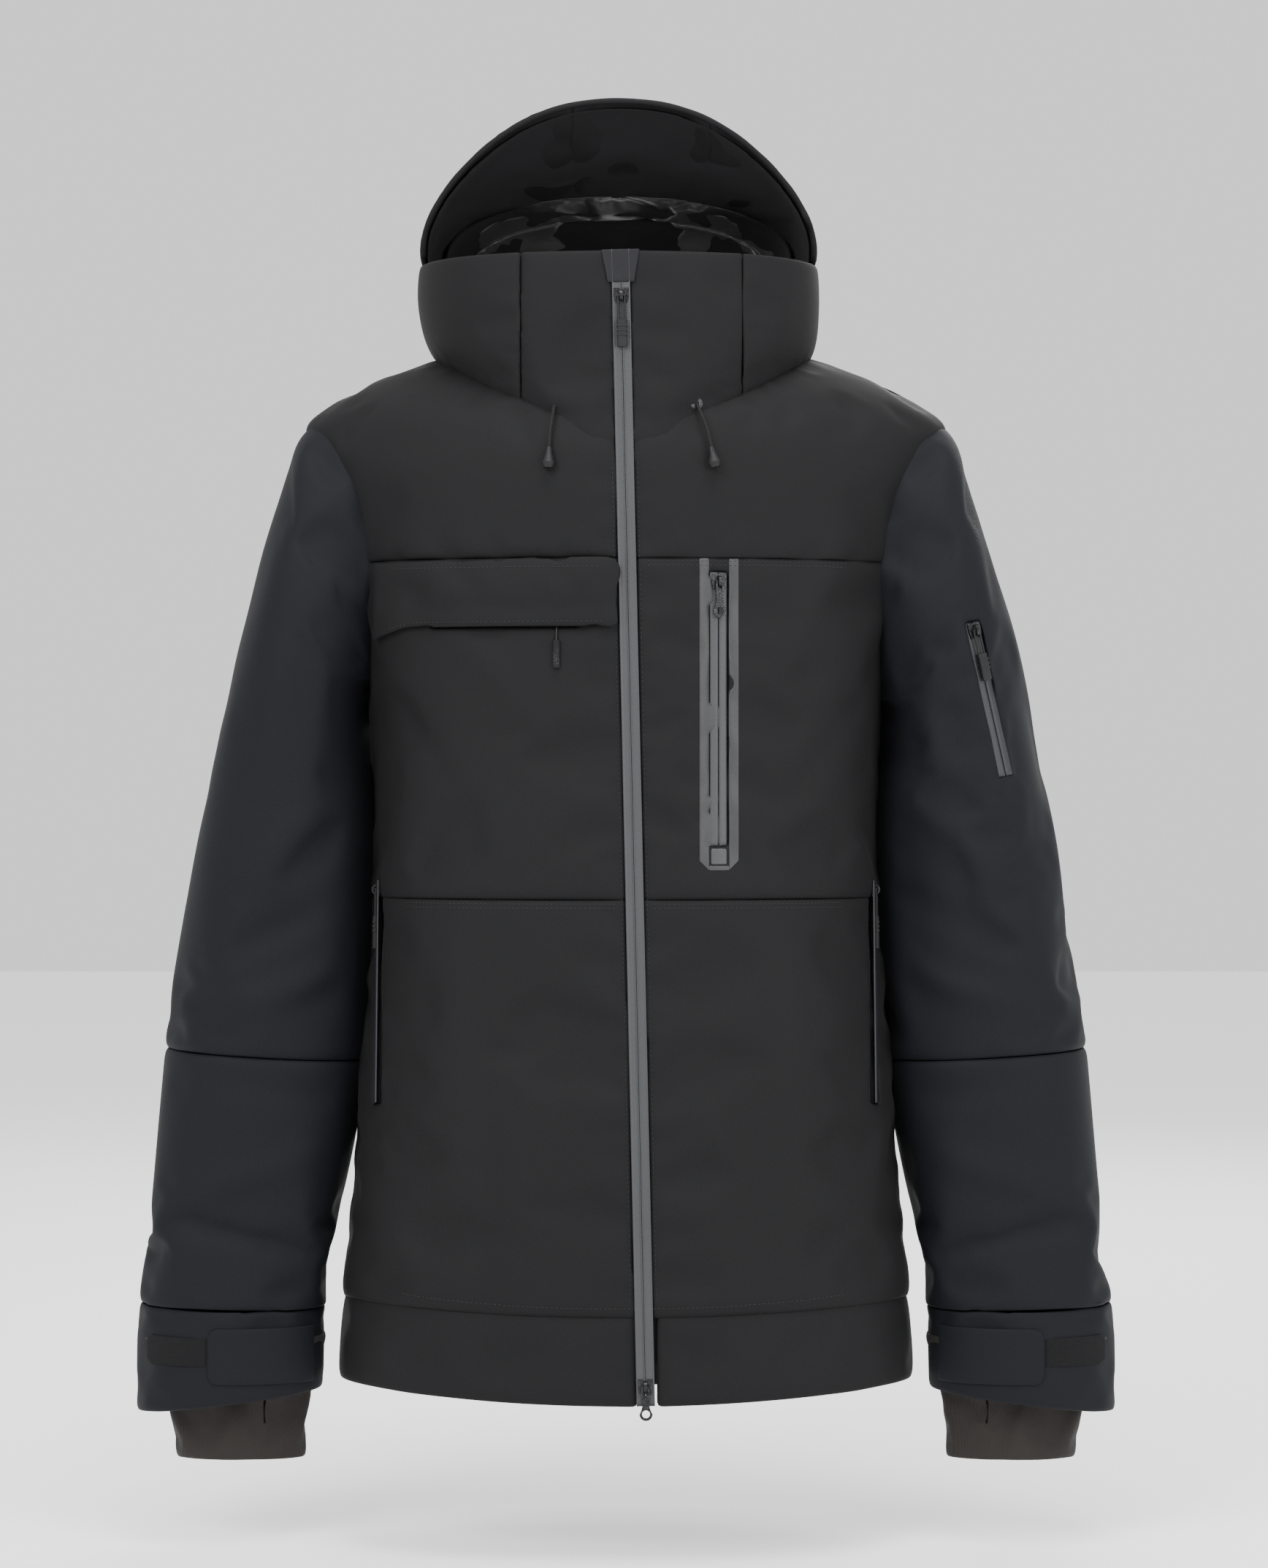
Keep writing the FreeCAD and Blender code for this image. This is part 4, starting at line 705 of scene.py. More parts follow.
# %% Cutting the shell
TAPE_ABOVE = 6.0                       # mm of tape above the pivot of a closed zip's pull
CHEST_ZIP, SLEEVE_ZIP, HAND_ZIP, FLAP_ZIP = 180.0, 105.9, 150.0, 98.0   # lengths in mm
FRONT_EDGE = 5.2                       # mm from the zip's middle to the edge of each front
body_tree = BVHTree.FromBMesh(skin(BODY_ROWS, level_ring))
BODY_FOLDS = [((-150, -80, -120), (-60, -122, -250), 16, 2.0), ((150, -80, -118), (95, -118, -240), 16, 2.0),
              ((-120, -108, -250), (-112, -112, -560), 20, 2.2),
              ((-60, -122, -380), (-72, -124, -640), 22, 2.0),
              ((110, -108, -330), (118, -112, -600), 20, 2.2), ((45, -124, -400), (56, -126, -640), 20, 1.8),
              ((-30, -124, -420), (-34, -126, -630), 14, -1.4), ((150, -70, -240), (158, -70, -520), 18, -0.8),
              ((-150, -70, -240), (-160, -70, -520), 18, -0.8),
              ((-165, -30, -180), (-110, -105, -300), 13, -1.8),
              ((165, -30, -180), (112, -104, -300), 13, -1.8), ((-95, -112, -470), (-92, -118, -650), 14, -1.6),
              ((84, -116, -470), (88, -119, -650), 14, -1.6), ((-60, 105, -200), (-70, 105, -600), 26, 2.5),
              ((60, 105, -200), (66, 105, -600), 26, 2.5), ((0, 112, -230), (4, 112, -640), 20, -2.0),
              ((-172, 6, -250), (-182, 6, -600), 30, 3.5), ((172, 6, -250), (182, 6, -600), 30, 3.5),
              ((-130, 70, -180), (-110, 85, -420), 18, -2.0), ((130, 70, -180), (110, 85, -420), 18, -2.0)]


def body_cloth(span, offset=0.0, cell=6.5):
    bm = skin(BODY_ROWS, level_ring, offset, cell, span, warp=hem_warp)
    press_folds(bm, BODY_FOLDS)
    return bm


collar_tree = BVHTree.FromBMesh(skin(COLLAR_ROWS, level_ring))
for side, sign in (("right", -1.0), ("left", 1.0)):
    for level, span in (("yoke", (-138.0, 10.0)), ("chest", (-364.0, -136.2)), ("lower", (-638.0, -362.2))):
        bm = cut(body_cloth(span), (0, 4, 0), (0, 1, 0))
        cut(bm, Vector(MAIN_MM) + MAIN_ACROSS * FRONT_EDGE * sign, -MAIN_ACROSS * sign)
        if level == "yoke":
            drop_inside(bm, collar_tree, 5.0)
        if level == "chest" and side == "left":
            zip_slot(bm, "chest_pull_swing", "chest_zip_slide", TAPE_ABOVE, CHEST_ZIP)
        if level == "chest" and side == "right":
            slot(bm, Vector((-0.130, -0.112, -0.176)), (1, 0, 0), (0, 0, 1), FLAP_ZIP)
        if level == "lower":
            down = joint_axis("hand_zip_slide_" + side)
            top = Vector((sign * 0.1695, -0.0365, -0.352))
            slot(bm, top, down, Vector((sign * 0.128, 0.984, -0.1237)), HAND_ZIP)
        node = "front_%s_%s" % (level, side)
        obj = panel(node + "_cloth", bm, BODY_TWILL, 3.2, growth=0.014, limit=2.2)
        PLACE[obj.name] = (node, "jacket")
for node, span in (("back_yoke", (-166.0, 10.0)), ("back_panel", (-638.0, -164.2))):
    bm = cut(body_cloth(span), (0, 4, 0), (0, -1, 0))
    if node == "back_yoke":
        drop_inside(bm, collar_tree, 5.0)
    obj = panel(node + "_cloth", bm, BODY_TWILL, 3.2, growth=0.014)
    PLACE[obj.name] = (node, "jacket")
bm = body_cloth((-696.0, -634.0), -1.4, 6.0)
# the band is one strip, open at the zip: cut only in front
front_faces = [f for f in bm.faces if f.calc_center_median().y < 0]
gone = [f for f in front_faces
        if abs((f.calc_center_median() - MAIN_TOP).dot(MAIN_ACROSS)) < 5.6 * MM]
bmesh.ops.delete(bm, geom=gone, context="FACES")
obj = panel("hem_band_cloth", bm, BODY_TWILL, 2.0, growth=0.004, roll=0.6)
PLACE[obj.name] = ("hem_band", "jacket")
bm = skin(BODY_ROWS, level_ring, -11.0, 11.0, (-634.0, 2.0), warp=hem_warp)
drop_inside(bm, collar_tree, 3.0)
obj = panel("body_lining_satin", bm, SATIN, 0.8, growth=0.03, stiff=0.5, roll=0.0, limit=1.5)
PLACE[obj.name] = ("body_lining", "jacket")
print("body:", len(WAITING), "panels cut")

# %% [markdown]
# ## Collar and hood
# The stand collar is a level-topped ring that rises from the neck seam; its back half is lower,
# where the hood is sewn in.  The hood is three panels, two sides and a crown, with a matt facing
# inside the brim and a satin lining gathered to it.

# %% Cutting the collar and the hood
RISE = (66.0 - 20.0) / (99.0 + 5.0)
PARTING = ((0, 99, 20), Vector((0, RISE, 1.0)))
LEAN = (-50.0 + 5.0) / (176.0 - 66.0)
HOOD_FOLDS = [((-120, 10, 40), (-60, -8, 128), 14, 2.2), ((118, 8, 40), (72, -12, 130), 14, 2.2),
              ((-100, 55, 45), (-40, 60, 112), 18, -2.0), ((100, 52, 45), (30, 62, 112), 18, -2.0),
              ((-34, -45, 168), (-30, 40, 118), 10, -1.4), ((57, -42, 160), (50, 40, 116), 10, -1.4)]


def opening(bm, shift=0.0, keep_behind=True):
    normal = Vector((0, -1.0, LEAN)) * (1 if keep_behind else -1)
    return cut(bm, (0, -5 + shift, 66), normal)


for side, sign in (("right", -1.0), ("left", 1.0)):
    bm = skin(COLLAR_ROWS, level_ring, 0.0, 5.5, (-70.0, 66.0))
    cut(bm, *PARTING)
    cut(bm, (0, -5, 0), (0, 1, 0))
    cut(bm, ((-70 if sign < 0 else 78), 0, 0), (sign, 0, 0))
    cut(bm, Vector(MAIN_MM) + MAIN_ACROSS * FRONT_EDGE * sign, -MAIN_ACROSS * sign)
    drop_inside(bm, body_tree, 5.0)
    node = "collar_front_" + side
    obj = panel(node + "_cloth", bm, BODY_TWILL, 3.2, growth=0.006, roll=0.45, press=0.4)
    PLACE[obj.name] = (node, "jacket")
collar_back = None
for x0, x1, y0 in ((-400, -70, -400), (78, 400, -400), (-70, 78, -5)):
    bm = skin(COLLAR_ROWS, level_ring, 0.0, 5.5, (-70.0, 66.0))
    cut(bm, *PARTING)
    cut(bm, (x0, 0, 0), (-1, 0, 0))
    cut(bm, (x1, 0, 0), (1, 0, 0))
    cut(bm, (0, y0, 0), (0, -1, 0))
    drop_inside(bm, body_tree, 5.0)
    if collar_back is None:
        collar_back = bm
    else:
        scrap = bpy.data.meshes.new("scrap")
        bm.to_mesh(scrap)
        collar_back.from_mesh(scrap)
        bpy.data.meshes.remove(scrap)
        bm.free()
obj = panel("collar_back_cloth", collar_back, BODY_TWILL, 3.2, growth=0.010, roll=0.45)
PLACE[obj.name] = ("collar_back", "jacket")

inner = skin(COLLAR_ROWS, level_ring, -4.2, 7.0, (-44.0, 65.5))
cut(inner, *PARTING)
high = skin(HOOD_ROWS, hood_ring, -8.6, 7.0)
cut(high, PARTING[0], -PARTING[1])
cut(high, (0, 25, 0), (0, -1, 0))
cut(high, (0, 0, 111), (0, 0, 1))
scrap = bpy.data.meshes.new("scrap")
high.to_mesh(scrap)
inner.from_mesh(scrap)
high.free()
obj = panel("inner_collar_facing", inner, BRUSHED, 2.0, growth=0.01, roll=0.5, limit=2.0)
PLACE[obj.name] = ("inner_collar", "jacket")

for node, x0, x1 in (("hood_side_right", -400, -35.4), ("hood_centre", -36.6, 57.6),
                     ("hood_side_left", 56.4, 400)):
    bm = skin(HOOD_ROWS, hood_ring, 0.0, 6.0)
    press_folds(bm, HOOD_FOLDS)
    opening(bm)
    cut(bm, (0, 99, 20.7), -PARTING[1])
    cut(bm, (x0, 0, 0), (-1, 0, 0))
    cut(bm, (x1, 0, 0), (1, 0, 0))
    obj = panel(node + "_cloth", bm, BODY_TWILL, 3.2, growth=0.012, roll=0.4)
    PLACE[obj.name] = (node, "hood")
crinkle = np.random.default_rng(7)
LINING_FOLDS = []
for i in range(44):
    x, y = crinkle.uniform(-125, 115), crinkle.uniform(48, 84)
    z = 118.0 - 0.55 * max(0.0, abs(x + 5) - 60) - 0.5 * max(0.0, y - 60)
    run = crinkle.uniform(14, 34)
    turn = crinkle.uniform(-0.9, 0.9)
    LINING_FOLDS.append(((x, y - run / 2, z + 6), (x + run * math.sin(turn), y + run / 2, z - 6),
                         crinkle.uniform(3.5, 6.5), crinkle.choice([-1, 1]) * crinkle.uniform(1.2, 2.4)))
for i in range(30):
    x = -124.0 + 8.2 * i + crinkle.uniform(-2, 2)
    z = 122.0 - 0.006 * (x + 5) ** 2 * 0.6
    LINING_FOLDS.append(((x, 48, z), (x + crinkle.uniform(-4, 4), 72, z - 10), 3.2, 1.5))
bm = skin(HOOD_ROWS, hood_ring, -6.0, 3.6)
press_folds(bm, LINING_FOLDS)
opening(bm, 55.0)
cut(bm, (0, 99, 20.7), -PARTING[1])
obj = panel("hood_lining_satin", bm, SATIN, 0.8, growth=0.05, stiff=0.4, roll=-0.6, limit=4.0)
PLACE[obj.name] = ("hood_lining", "hood")
bm = opening(opening(skin(HOOD_ROWS, hood_ring, -5.0, 6.0)), 58.0, False)
cut(bm, (0, 99, 20.7), -PARTING[1])
obj = panel("brim_facing_cloth", bm, BRUSHED, 1.0, growth=0.012, roll=0.0, limit=2.0)
PLACE[obj.name] = ("brim_facing", "hood")


def rim_roll(name, radius=2.1, inset=1.9):
    """The brim's folded edge: a soft roll along the face opening."""
    ring_bm = opening(skin(HOOD_ROWS, hood_ring, -inset, 5.0))
    rim = {v for e in ring_bm.edges if e.is_boundary for v in e.verts}
    line = [v.co.copy() for v in rim
            if abs((v.co - Vector((0, -5, 66)) * MM).dot(Vector((0, -1.0, LEAN)).normalized())) < 0.4 * MM
            and (v.co - Vector(PARTING[0]) * MM).dot(PARTING[1]) > 1.0 * MM]
    ring_bm.free()
    centre = Vector((-5, -20, 58)) * MM
    line.sort(key=lambda c: math.atan2(c.z - centre.z, c.x - centre.x))
    bm = bmesh.new()
    loops = []
    for i, at in enumerate(line):
        along = (line[min(i + 1, len(line) - 1)] - line[max(i - 1, 0)]).normalized()
        out = (at - centre).normalized()
        side = along.cross(out).normalized()
        out = side.cross(along).normalized()
        swell = radius * MM * (1.0 + 0.05 * math.sin(i * 0.9))
        loops.append([bm.verts.new(at + (out * math.cos(a) + side * math.sin(a)) * swell)
                      for a in np.linspace(0, 2 * math.pi, 11)[:-1]])
    for low, high in zip(loops, loops[1:]):
        for k in range(10):
            bm.faces.new([low[k - 1], low[k], high[k], high[k - 1]])
    bm.faces.new(loops[0])
    bm.faces.new(loops[-1])
    bmesh.ops.recalc_face_normals(bm, faces=bm.faces)
    obj = mesh_object(name, bm, BODY_TWILL)
    obj.data.shade_smooth()
    return obj


PLACE[rim_roll("brim_edge_roll").name] = (None, "hood")
print("collar and hood:", len(WAITING), "panels so far")

# %% [markdown]
# ## Sleeves
# Each sleeve is an upper and a lower tube that meet at the elbow seam, then a deep cuff.  Hanging
# sleeves crease across the inside of the elbow and pull into long folds under the arm.

# %% Cutting the sleeves, cuffs and gaiters
SLEEVE_FOLDS = [((236, -66, -90), (262, -72, -230), 16, 2.4), ((208, -66, -130), (226, -72, -300), 13, -2.2),
                ((262, -70, -250), (296, -66, -330), 14, -2.2), ((196, -58, -300), (250, -70, -350), 14, 2.4),
                ((188, -40, -360), (262, -66, -400), 13, -2.2), ((186, -50, -410), (270, -62, -440), 12, 2.4),
                ((190, -40, -500), (262, -58, -486), 12, -2.0), ((196, -50, -530), (286, -58, -560), 14, 2.0),
                ((210, -50, -600), (300, -54, -580), 13, -1.8), ((250, 66, -160), (270, 66, -420), 20, 2.6),
                ((210, 60, -200), (226, 66, -440), 16, -2.2), ((300, 10, -380), (318, 0, -600), 16, 1.6),
                ((292, 40, -240), (306, 34, -430), 16, -1.8), ((178, 10, -230), (186, 8, -580), 28, 6.0)]
arm_trees = {}
for side, sign in (("right", -1.0), ("left", 1.0)):
    flip = sign < 0
    folds = [((sign * a[0], *a[1:]), (sign * b[0], *b[1:]), w, d) for a, b, w, d in SLEEVE_FOLDS]
    bm = skin(UPPER_ROWS, sleeve_ring, 0.0, 6.5, mirror=flip)
    press_folds(bm, folds)
    drop_inside(bm, body_tree, 7.0)
    if not flip:
        zip_slot(bm, "sleeve_pull_swing", "sleeve_zip_slide", TAPE_ABOVE, SLEEVE_ZIP)
    node = "sleeve_upper_" + side
    obj = panel(node + "_cloth", bm, SLEEVE_TWILL, 3.0, growth=0.022, limit=2.8)
    PLACE[obj.name] = (node, "sleeve_" + side)
    bm = skin(LOWER_ROWS, sleeve_ring, 0.0, 6.5, mirror=flip)
    arm_trees[side] = BVHTree.FromBMesh(bm)
    press_folds(bm, folds)
    seam = Vector((sign * -3.0, 0, 127.0)).normalized()
    cut(bm, (sign * 331.5, 0, -639), -seam)
    node = "sleeve_lower_" + side
    obj = panel(node + "_cloth", bm, SLEEVE_TWILL, 3.0, growth=0.020)
    PLACE[obj.name] = (node, "forearm_" + side)
    bm = skin(LOWER_ROWS, sleeve_ring, -0.3, 5.5, mirror=flip)
    cut(bm, (sign * 331.5, 0, -639), seam)
    obj = panel("cuff_%s_cloth" % side, bm, SLEEVE_TWILL, 3.0, growth=0.006, press=0.3)
    PLACE[obj.name] = ("cuff_" + side, "forearm_" + side)
    bm = skin(GAITER_ROWS, level_ring, -0.5, 4.5, mirror=flip)
    slit = Vector((sign * 0.244, -0.0374, -0.703))
    slot(bm, slit, (0, 0, -1), (1, 0, 0), 16.0, 0.7, 6.0)
    obj = panel("wrist_gaiter_%s_jersey" % side, bm, JERSEY, 1.4, growth=0.03, stiff=0.8, roll=0.4, limit=2.5)
    PLACE[obj.name] = ("wrist_gaiter_" + side, "forearm_" + side)
print("sleeves:", len(WAITING), "panels in all")

# %% Letting the cloth settle
settle()
print("settled", sum(len(o.data.vertices) for o, made in WAITING), "points")

# %% [markdown]
# ## Zips, trims and small flaps
# Coil zips read as one flat grey band with a fine line where the two coated tapes meet; the coil
# lies behind.  Flaps and film are laid on the shell: an outline is gridded, projected on the cloth
# and given its own thickness.

# %% Tapes that meet on the zip's centre line
TAPE_ROWS = [(0.12, 1.5), (0.25, 0.75), (0.9, 0.45), (1.7, 0.30), (2.6, 0.42), (4.2, 0.50),
             (5.3, 0.62), (6.4, 1.5)]


def tapes(name, top, down, across, length, material, half=5.4, bend=None):
    """Two strips of tape beside a centre line, with a low bead where the coil pushes them up."""
    out = across.cross(down)
    bm = bmesh.new()
    steps = max(2, int(length / 2.6))
    for side in (-1.0, 1.0):
        rows = []
        for i in range(steps + 1):
            run = length * i / steps
            bead = 0.10 * (i % 2)
            row = []
            for reach, sink in TAPE_ROWS:
                reach = min(reach, half + 0.7)
                depth = sink - (bead if 0.5 < reach < 2.0 else 0.0)
                at = top + (down * run + across * side * reach - out * depth) * MM
                row.append(bm.verts.new(bend(at, depth) if bend else at))
            rows.append(row)
        for low, high in zip(rows, rows[1:]):
            for k in range(len(low) - 1):
                bm.faces.new([low[k], low[k + 1], high[k + 1], high[k]][::int(side)])
    bmesh.ops.recalc_face_normals(bm, faces=bm.faces)
    face = max(bm.faces, key=lambda f: f.calc_area())
    if face.normal.dot(out) < 0:
        bmesh.ops.reverse_faces(bm, faces=bm.faces)
    obj = mesh_object(name, bm, material)
    wall = obj.modifiers.new("wall", "SOLIDIFY")
    wall.thickness, wall.offset = 0.7 * MM, -1.0
    bake(obj)
    return obj


PIVOT_RISE = 2.55                      # mm from the tape up to the pivot of a slider's pull


def zip_tapes(name, nodes, swing, slide, above, length, material):
    """Tapes for a zip whose slider slides and whose pull swings, both known from their joints."""
    down, across = joint_axis(slide), joint_axis(swing)
    out = across.cross(down)
    top = joint_place(swing) - down * above * MM
    front = out if out.y < 0 else -out
    if front != out:
        across = -across
    top = top - front * PIVOT_RISE * MM
    obj = tapes(name, top, down, across, length, material)
    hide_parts(*nodes)
    return obj


print("tape profile has", len(TAPE_ROWS), "points")

# %% Laying flat pieces on the cloth
def outline_sheet(outline, cell, origin, right, up):
    """A convex outline of (right, up) corners in mm, gridded into small squares."""
    xs, ys = [p[0] for p in outline], [p[1] for p in outline]
    bm = bmesh.new()
    nx, ny = int((max(xs) - min(xs)) / cell) + 2, int((max(ys) - min(ys)) / cell) + 2
    grid = [[bm.verts.new(origin + right * ((min(xs) - 0.5 + i * cell) * MM)
                          + up * ((min(ys) - 0.5 + j * cell) * MM))
             for i in range(nx + 1)] for j in range(ny + 1)]
    for low, high in zip(grid, grid[1:]):
        for i in range(nx):
            bm.faces.new([low[i], low[i + 1], high[i + 1], high[i]])
    middle = Vector((sum(xs) / len(xs), sum(ys) / len(ys)))
    for a, b in zip(outline, outline[1:] + outline[:1]):
        edge = Vector((b[0] - a[0], b[1] - a[1]))
        normal = Vector((edge.y, -edge.x))
        if normal.dot(Vector(a) - middle) < 0:
            normal = -normal
        world = (right * normal.x + up * normal.y).normalized()
        place = origin + (right * a[0] + up * a[1]) * MM
        bmesh.ops.bisect_plane(bm, geom=bm.verts[:] + bm.edges[:] + bm.faces[:], plane_co=place, plane_no=world,
                               clear_outer=True)
    bmesh.ops.remove_doubles(bm, verts=bm.verts, dist=0.0003)
    return bm


def laid(name, outline, cell, tree, lift, wall, material, mirror=False, puff=0.0, hang=None, over=None,
         drop=None):
    """An outline in (x, z) laid on cloth that faces the front, lifted off it, with its own wall."""
    sign = -1.0 if mirror else 1.0
    bm = outline_sheet([(sign * x, z) for x, z in outline], cell,
                       Vector(), Vector((1, 0, 0)), Vector((0, 0, 1)))
    rim = {v for e in bm.edges if e.is_boundary for v in e.verts}
    for vert in bm.verts:
        if drop:
            vert.co.z -= drop(vert.co) * MM
        ray = Vector((vert.co.x, -0.4, vert.co.z)), Vector((0, 1, 0))
        hit, normal, index, distance = tree.ray_cast(*ray)
        if over:
            base, base_normal = over.ray_cast(*ray)[:2]
            if hit is None or hit.y > base.y:
                hit, normal = base, base_normal
        if hit is None:
            hit, normal, index, distance = tree.find_nearest(Vector((vert.co.x, -0.05, vert.co.z)))
        out = normal if normal.y < 0 else -normal
        rise = lift if vert in rim else lift + puff
        extra = hang(vert.co) if hang else 0.0
        vert.co = hit + out * ((rise + extra) * MM)
    bmesh.ops.recalc_face_normals(bm, faces=bm.faces)
    if sum((f.normal.y * f.calc_area() for f in bm.faces)) > 0:
        bmesh.ops.reverse_faces(bm, faces=bm.faces)
    obj = mesh_object(name, bm, material)
    body = obj.modifiers.new("wall", "SOLIDIFY")
    body.thickness, body.offset = wall * MM, -1.0
    rounding = obj.modifiers.new("rounding", "SUBSURF")
    rounding.levels = rounding.render_levels = 1
    bake(obj)
    return obj


def cloth_tree(*names):
    bm = bmesh.new()
    for name in names:
        bm.from_mesh(bpy.data.objects[name].data)
    tree = BVHTree.FromBMesh(bm)
    bm.free()
    return tree


front_tree = cloth_tree("front_yoke_left_cloth", "front_yoke_right_cloth", "front_chest_left_cloth",
                        "front_chest_right_cloth", "front_lower_left_cloth", "front_lower_right_cloth")
print("laying tools ready")

# %% The zips of the front, the pockets and the sleeve
main = tapes("main_zip_tapes", MAIN_TOP, MAIN_DOWN, MAIN_ACROSS, 761.0, TAPE)
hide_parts("zip_tape_left", "zip_tape_right")
PLACE[main.name] = (None, "jacket")
chest = zip_tapes("chest_zip_tapes", ["chest_zip"], "chest_pull_swing", "chest_zip_slide",
                  TAPE_ABOVE, CHEST_ZIP, TAPE)
PLACE[chest.name] = (None, "jacket")
arm = zip_tapes("sleeve_zip_tapes", ["sleeve_zip"], "sleeve_pull_swing", "sleeve_zip_slide",
                TAPE_ABOVE, SLEEVE_ZIP, DARK_TAPE)
PLACE[arm.name] = (None, "sleeve_left")
for side, sign in (("right", -1.0), ("left", 1.0)):
    down = joint_axis("hand_zip_slide_" + side)
    across = Vector((sign * 0.128169, 0.984006, -0.123715))
    out = across.cross(down)
    if out.x * sign < 0:
        across = -across
    top = Vector((sign * 0.1692, -0.0366, -0.3520))
    obj = tapes("hand_zip_%s_tapes" % side, top, down, across, HAND_ZIP, DARK_TAPE)
    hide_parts("hand_zip_" + side)
    PLACE[obj.name] = (None, "jacket")

FLAP_AXIS = joint_place("flap_zip_slide")
FLAP_REACH = 244.8


def round_flap(at, depth):
    """Wrap a straight run of tape round the flap zip's hinge axis."""
    angle = (at.x - FLAP_AXIS.x) / (FLAP_REACH * MM)
    reach = (FLAP_REACH - depth) * MM
    return Vector((FLAP_AXIS.x + math.sin(angle) * reach, FLAP_AXIS.y - math.cos(angle) * reach, at.z))


obj = tapes("flap_zip_tapes", Vector((-0.1303, -0.11, -0.176)), Vector((1, 0, 0)), Vector((0, 0, 1)),
            FLAP_ZIP, DARK_TAPE, bend=round_flap)
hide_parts("flap_zip")
PLACE[obj.name] = (None, "jacket")
print("zips:", [n for n in PLACE if n.endswith("tapes")])

# %% [markdown]
# The chest pocket wears a bonded film frame, cut square at the top and with clipped corners at the
# bottom, and a small square of the same film.  The flap over the other chest pocket is a strip of
# shell fabric folded double, sewn along its top, that stands off the chest.

# %% Film frame, patch, chest flap, garage, tabs and pads
X, Z0, Z1 = 61.5, -137.5, -343.5
film = [("film_outer", [(X - 13, Z0), (X - 6.6, Z0), (X - 6.6, Z1), (X - 13, Z1 + 6.4)]),
        ("film_inner", [(X + 6.6, Z0), (X + 13, Z0), (X + 13, Z1 + 6.4), (X + 6.6, Z1)]),
        ("film_foot", [(X - 6.8, Z1), (X + 6.8, Z1), (X + 6.8, Z1 + 3.2), (X - 6.8, Z1 + 3.2)]),
        ("film_patch", [(X - 5.3, Z1 + 4.0), (X + 5.3, Z1 + 4.0), (X + 5.3, Z1 + 14.6), (X - 5.3, Z1 + 14.6)])]
for name, outline in film:
    obj = laid(name, outline, 2.2, front_tree, 0.35, 0.5, FILM if name != "film_patch" else TAPE)
    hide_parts("chest_pocket_frame")
    PLACE[obj.name] = (None, "jacket")
Z = -139.0
flap_outline = [(-166, Z - 1), (-6, Z), (-6, Z - 42), (-9, Z - 44), (-166, Z - 44)]
obj = laid("chest_flap_cloth", flap_outline, 4.0, front_tree, 5.0, 1.7, BODY_TWILL, puff=0.5, over=body_tree,
           drop=lambda at: 7.0 * max(0.0, min(1.0, (-0.146 - at.x) / 0.02)) * max(0.0, (-0.141 - at.z) / 0.042),
           hang=lambda at: 0.5 * math.sin(at.x * 60.0) * max(0.0, (-0.141 - at.z) / 0.044))
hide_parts("chest_flap")
PLACE[obj.name] = (None, "chest_flap")
bm = outline_sheet([(-12.8, 0), (12.8, 0), (8.8, -21.8), (-8.8, -21.8)], 2.4,
                   MAIN_TOP + MAIN_OUT * 1.5 * MM, MAIN_ACROSS, -MAIN_DOWN)
for vert in bm.verts:
    vert.co += MAIN_OUT * (0.5 * MM * math.cos((vert.co - MAIN_TOP).dot(MAIN_ACROSS) / (13 * MM) * 1.5))
bmesh.ops.recalc_face_normals(bm, faces=bm.faces)
if sum(f.normal.dot(MAIN_OUT) for f in bm.faces) < 0:
    bmesh.ops.reverse_faces(bm, faces=bm.faces)
obj = mesh_object("zip_garage_film", bm, GARAGE_FILM)
body = obj.modifiers.new("wall", "SOLIDIFY")
body.thickness, body.offset = 0.9 * MM, -1.0
rounding = obj.modifiers.new("rounding", "SUBSURF")
rounding.levels = rounding.render_levels = 1
bake(obj)
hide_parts("zip_garage")
PLACE[obj.name] = (None, "jacket")
for side in ("right", "left"):
    tree, flip = arm_trees[side], side == "right"
    tab = [(212.5, -652), (274.5, -652), (278.5, -653.8), (280.5, -658), (280.5, -684), (278.5, -688.2),
           (274.5, -690), (212.5, -690)]
    obj = laid("cuff_tab_%s_strap" % side, tab, 3.4, tree, 2.1, 1.7, SLEEVE_TWILL, flip, 0.25)
    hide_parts("cuff_tab_" + side)
    PLACE[obj.name] = (None, "cuff_tab_" + side)
    pad = [(281.5, -658.5), (321, -658), (323.5, -661), (323.5, -675), (319, -678), (281.5, -678)]
    obj = laid("loop_pad_" + side, pad, 2.2, tree, 0.9, 1.2, LOOPS, flip, 0.2)
    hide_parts("cuff_" + side)
    PLACE[obj.name] = (None, "forearm_" + side)
strip = outline_sheet([(-17.5, -134), (17.5, -134), (17.5, -735), (-17.5, -735)], 7.0,
                      MAIN_TOP, MAIN_ACROSS, -MAIN_DOWN)
for vert in strip.verts:
    hit, normal, index, distance = body_tree.ray_cast(Vector((vert.co.x, -0.4, vert.co.z)), Vector((0, 1, 0)))
    if hit:
        vert.co = hit + Vector((0, 5.0 * MM, 0))
obj = mesh_object("wind_flap_cloth", strip, BRUSHED)
body = obj.modifiers.new("wall", "SOLIDIFY")
body.thickness, body.offset = 1.0 * MM, 0.0
bake(obj)
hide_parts("wind_flap")
PLACE[obj.name] = (None, "jacket")
print("laid pieces:", len(PLACE))

# %% [markdown]
# ## Cords, loop, stitches and bartacks
# Each drawcord leaves its eyelet, hangs over the chest and ends in a moulded bell.  The hanger is a
# woven tape sewn in the back of the neck.  Stitches are real little capsules of thread that sink in
# the cloth, 3.2 mm apart, beside every seam that is topstitched.

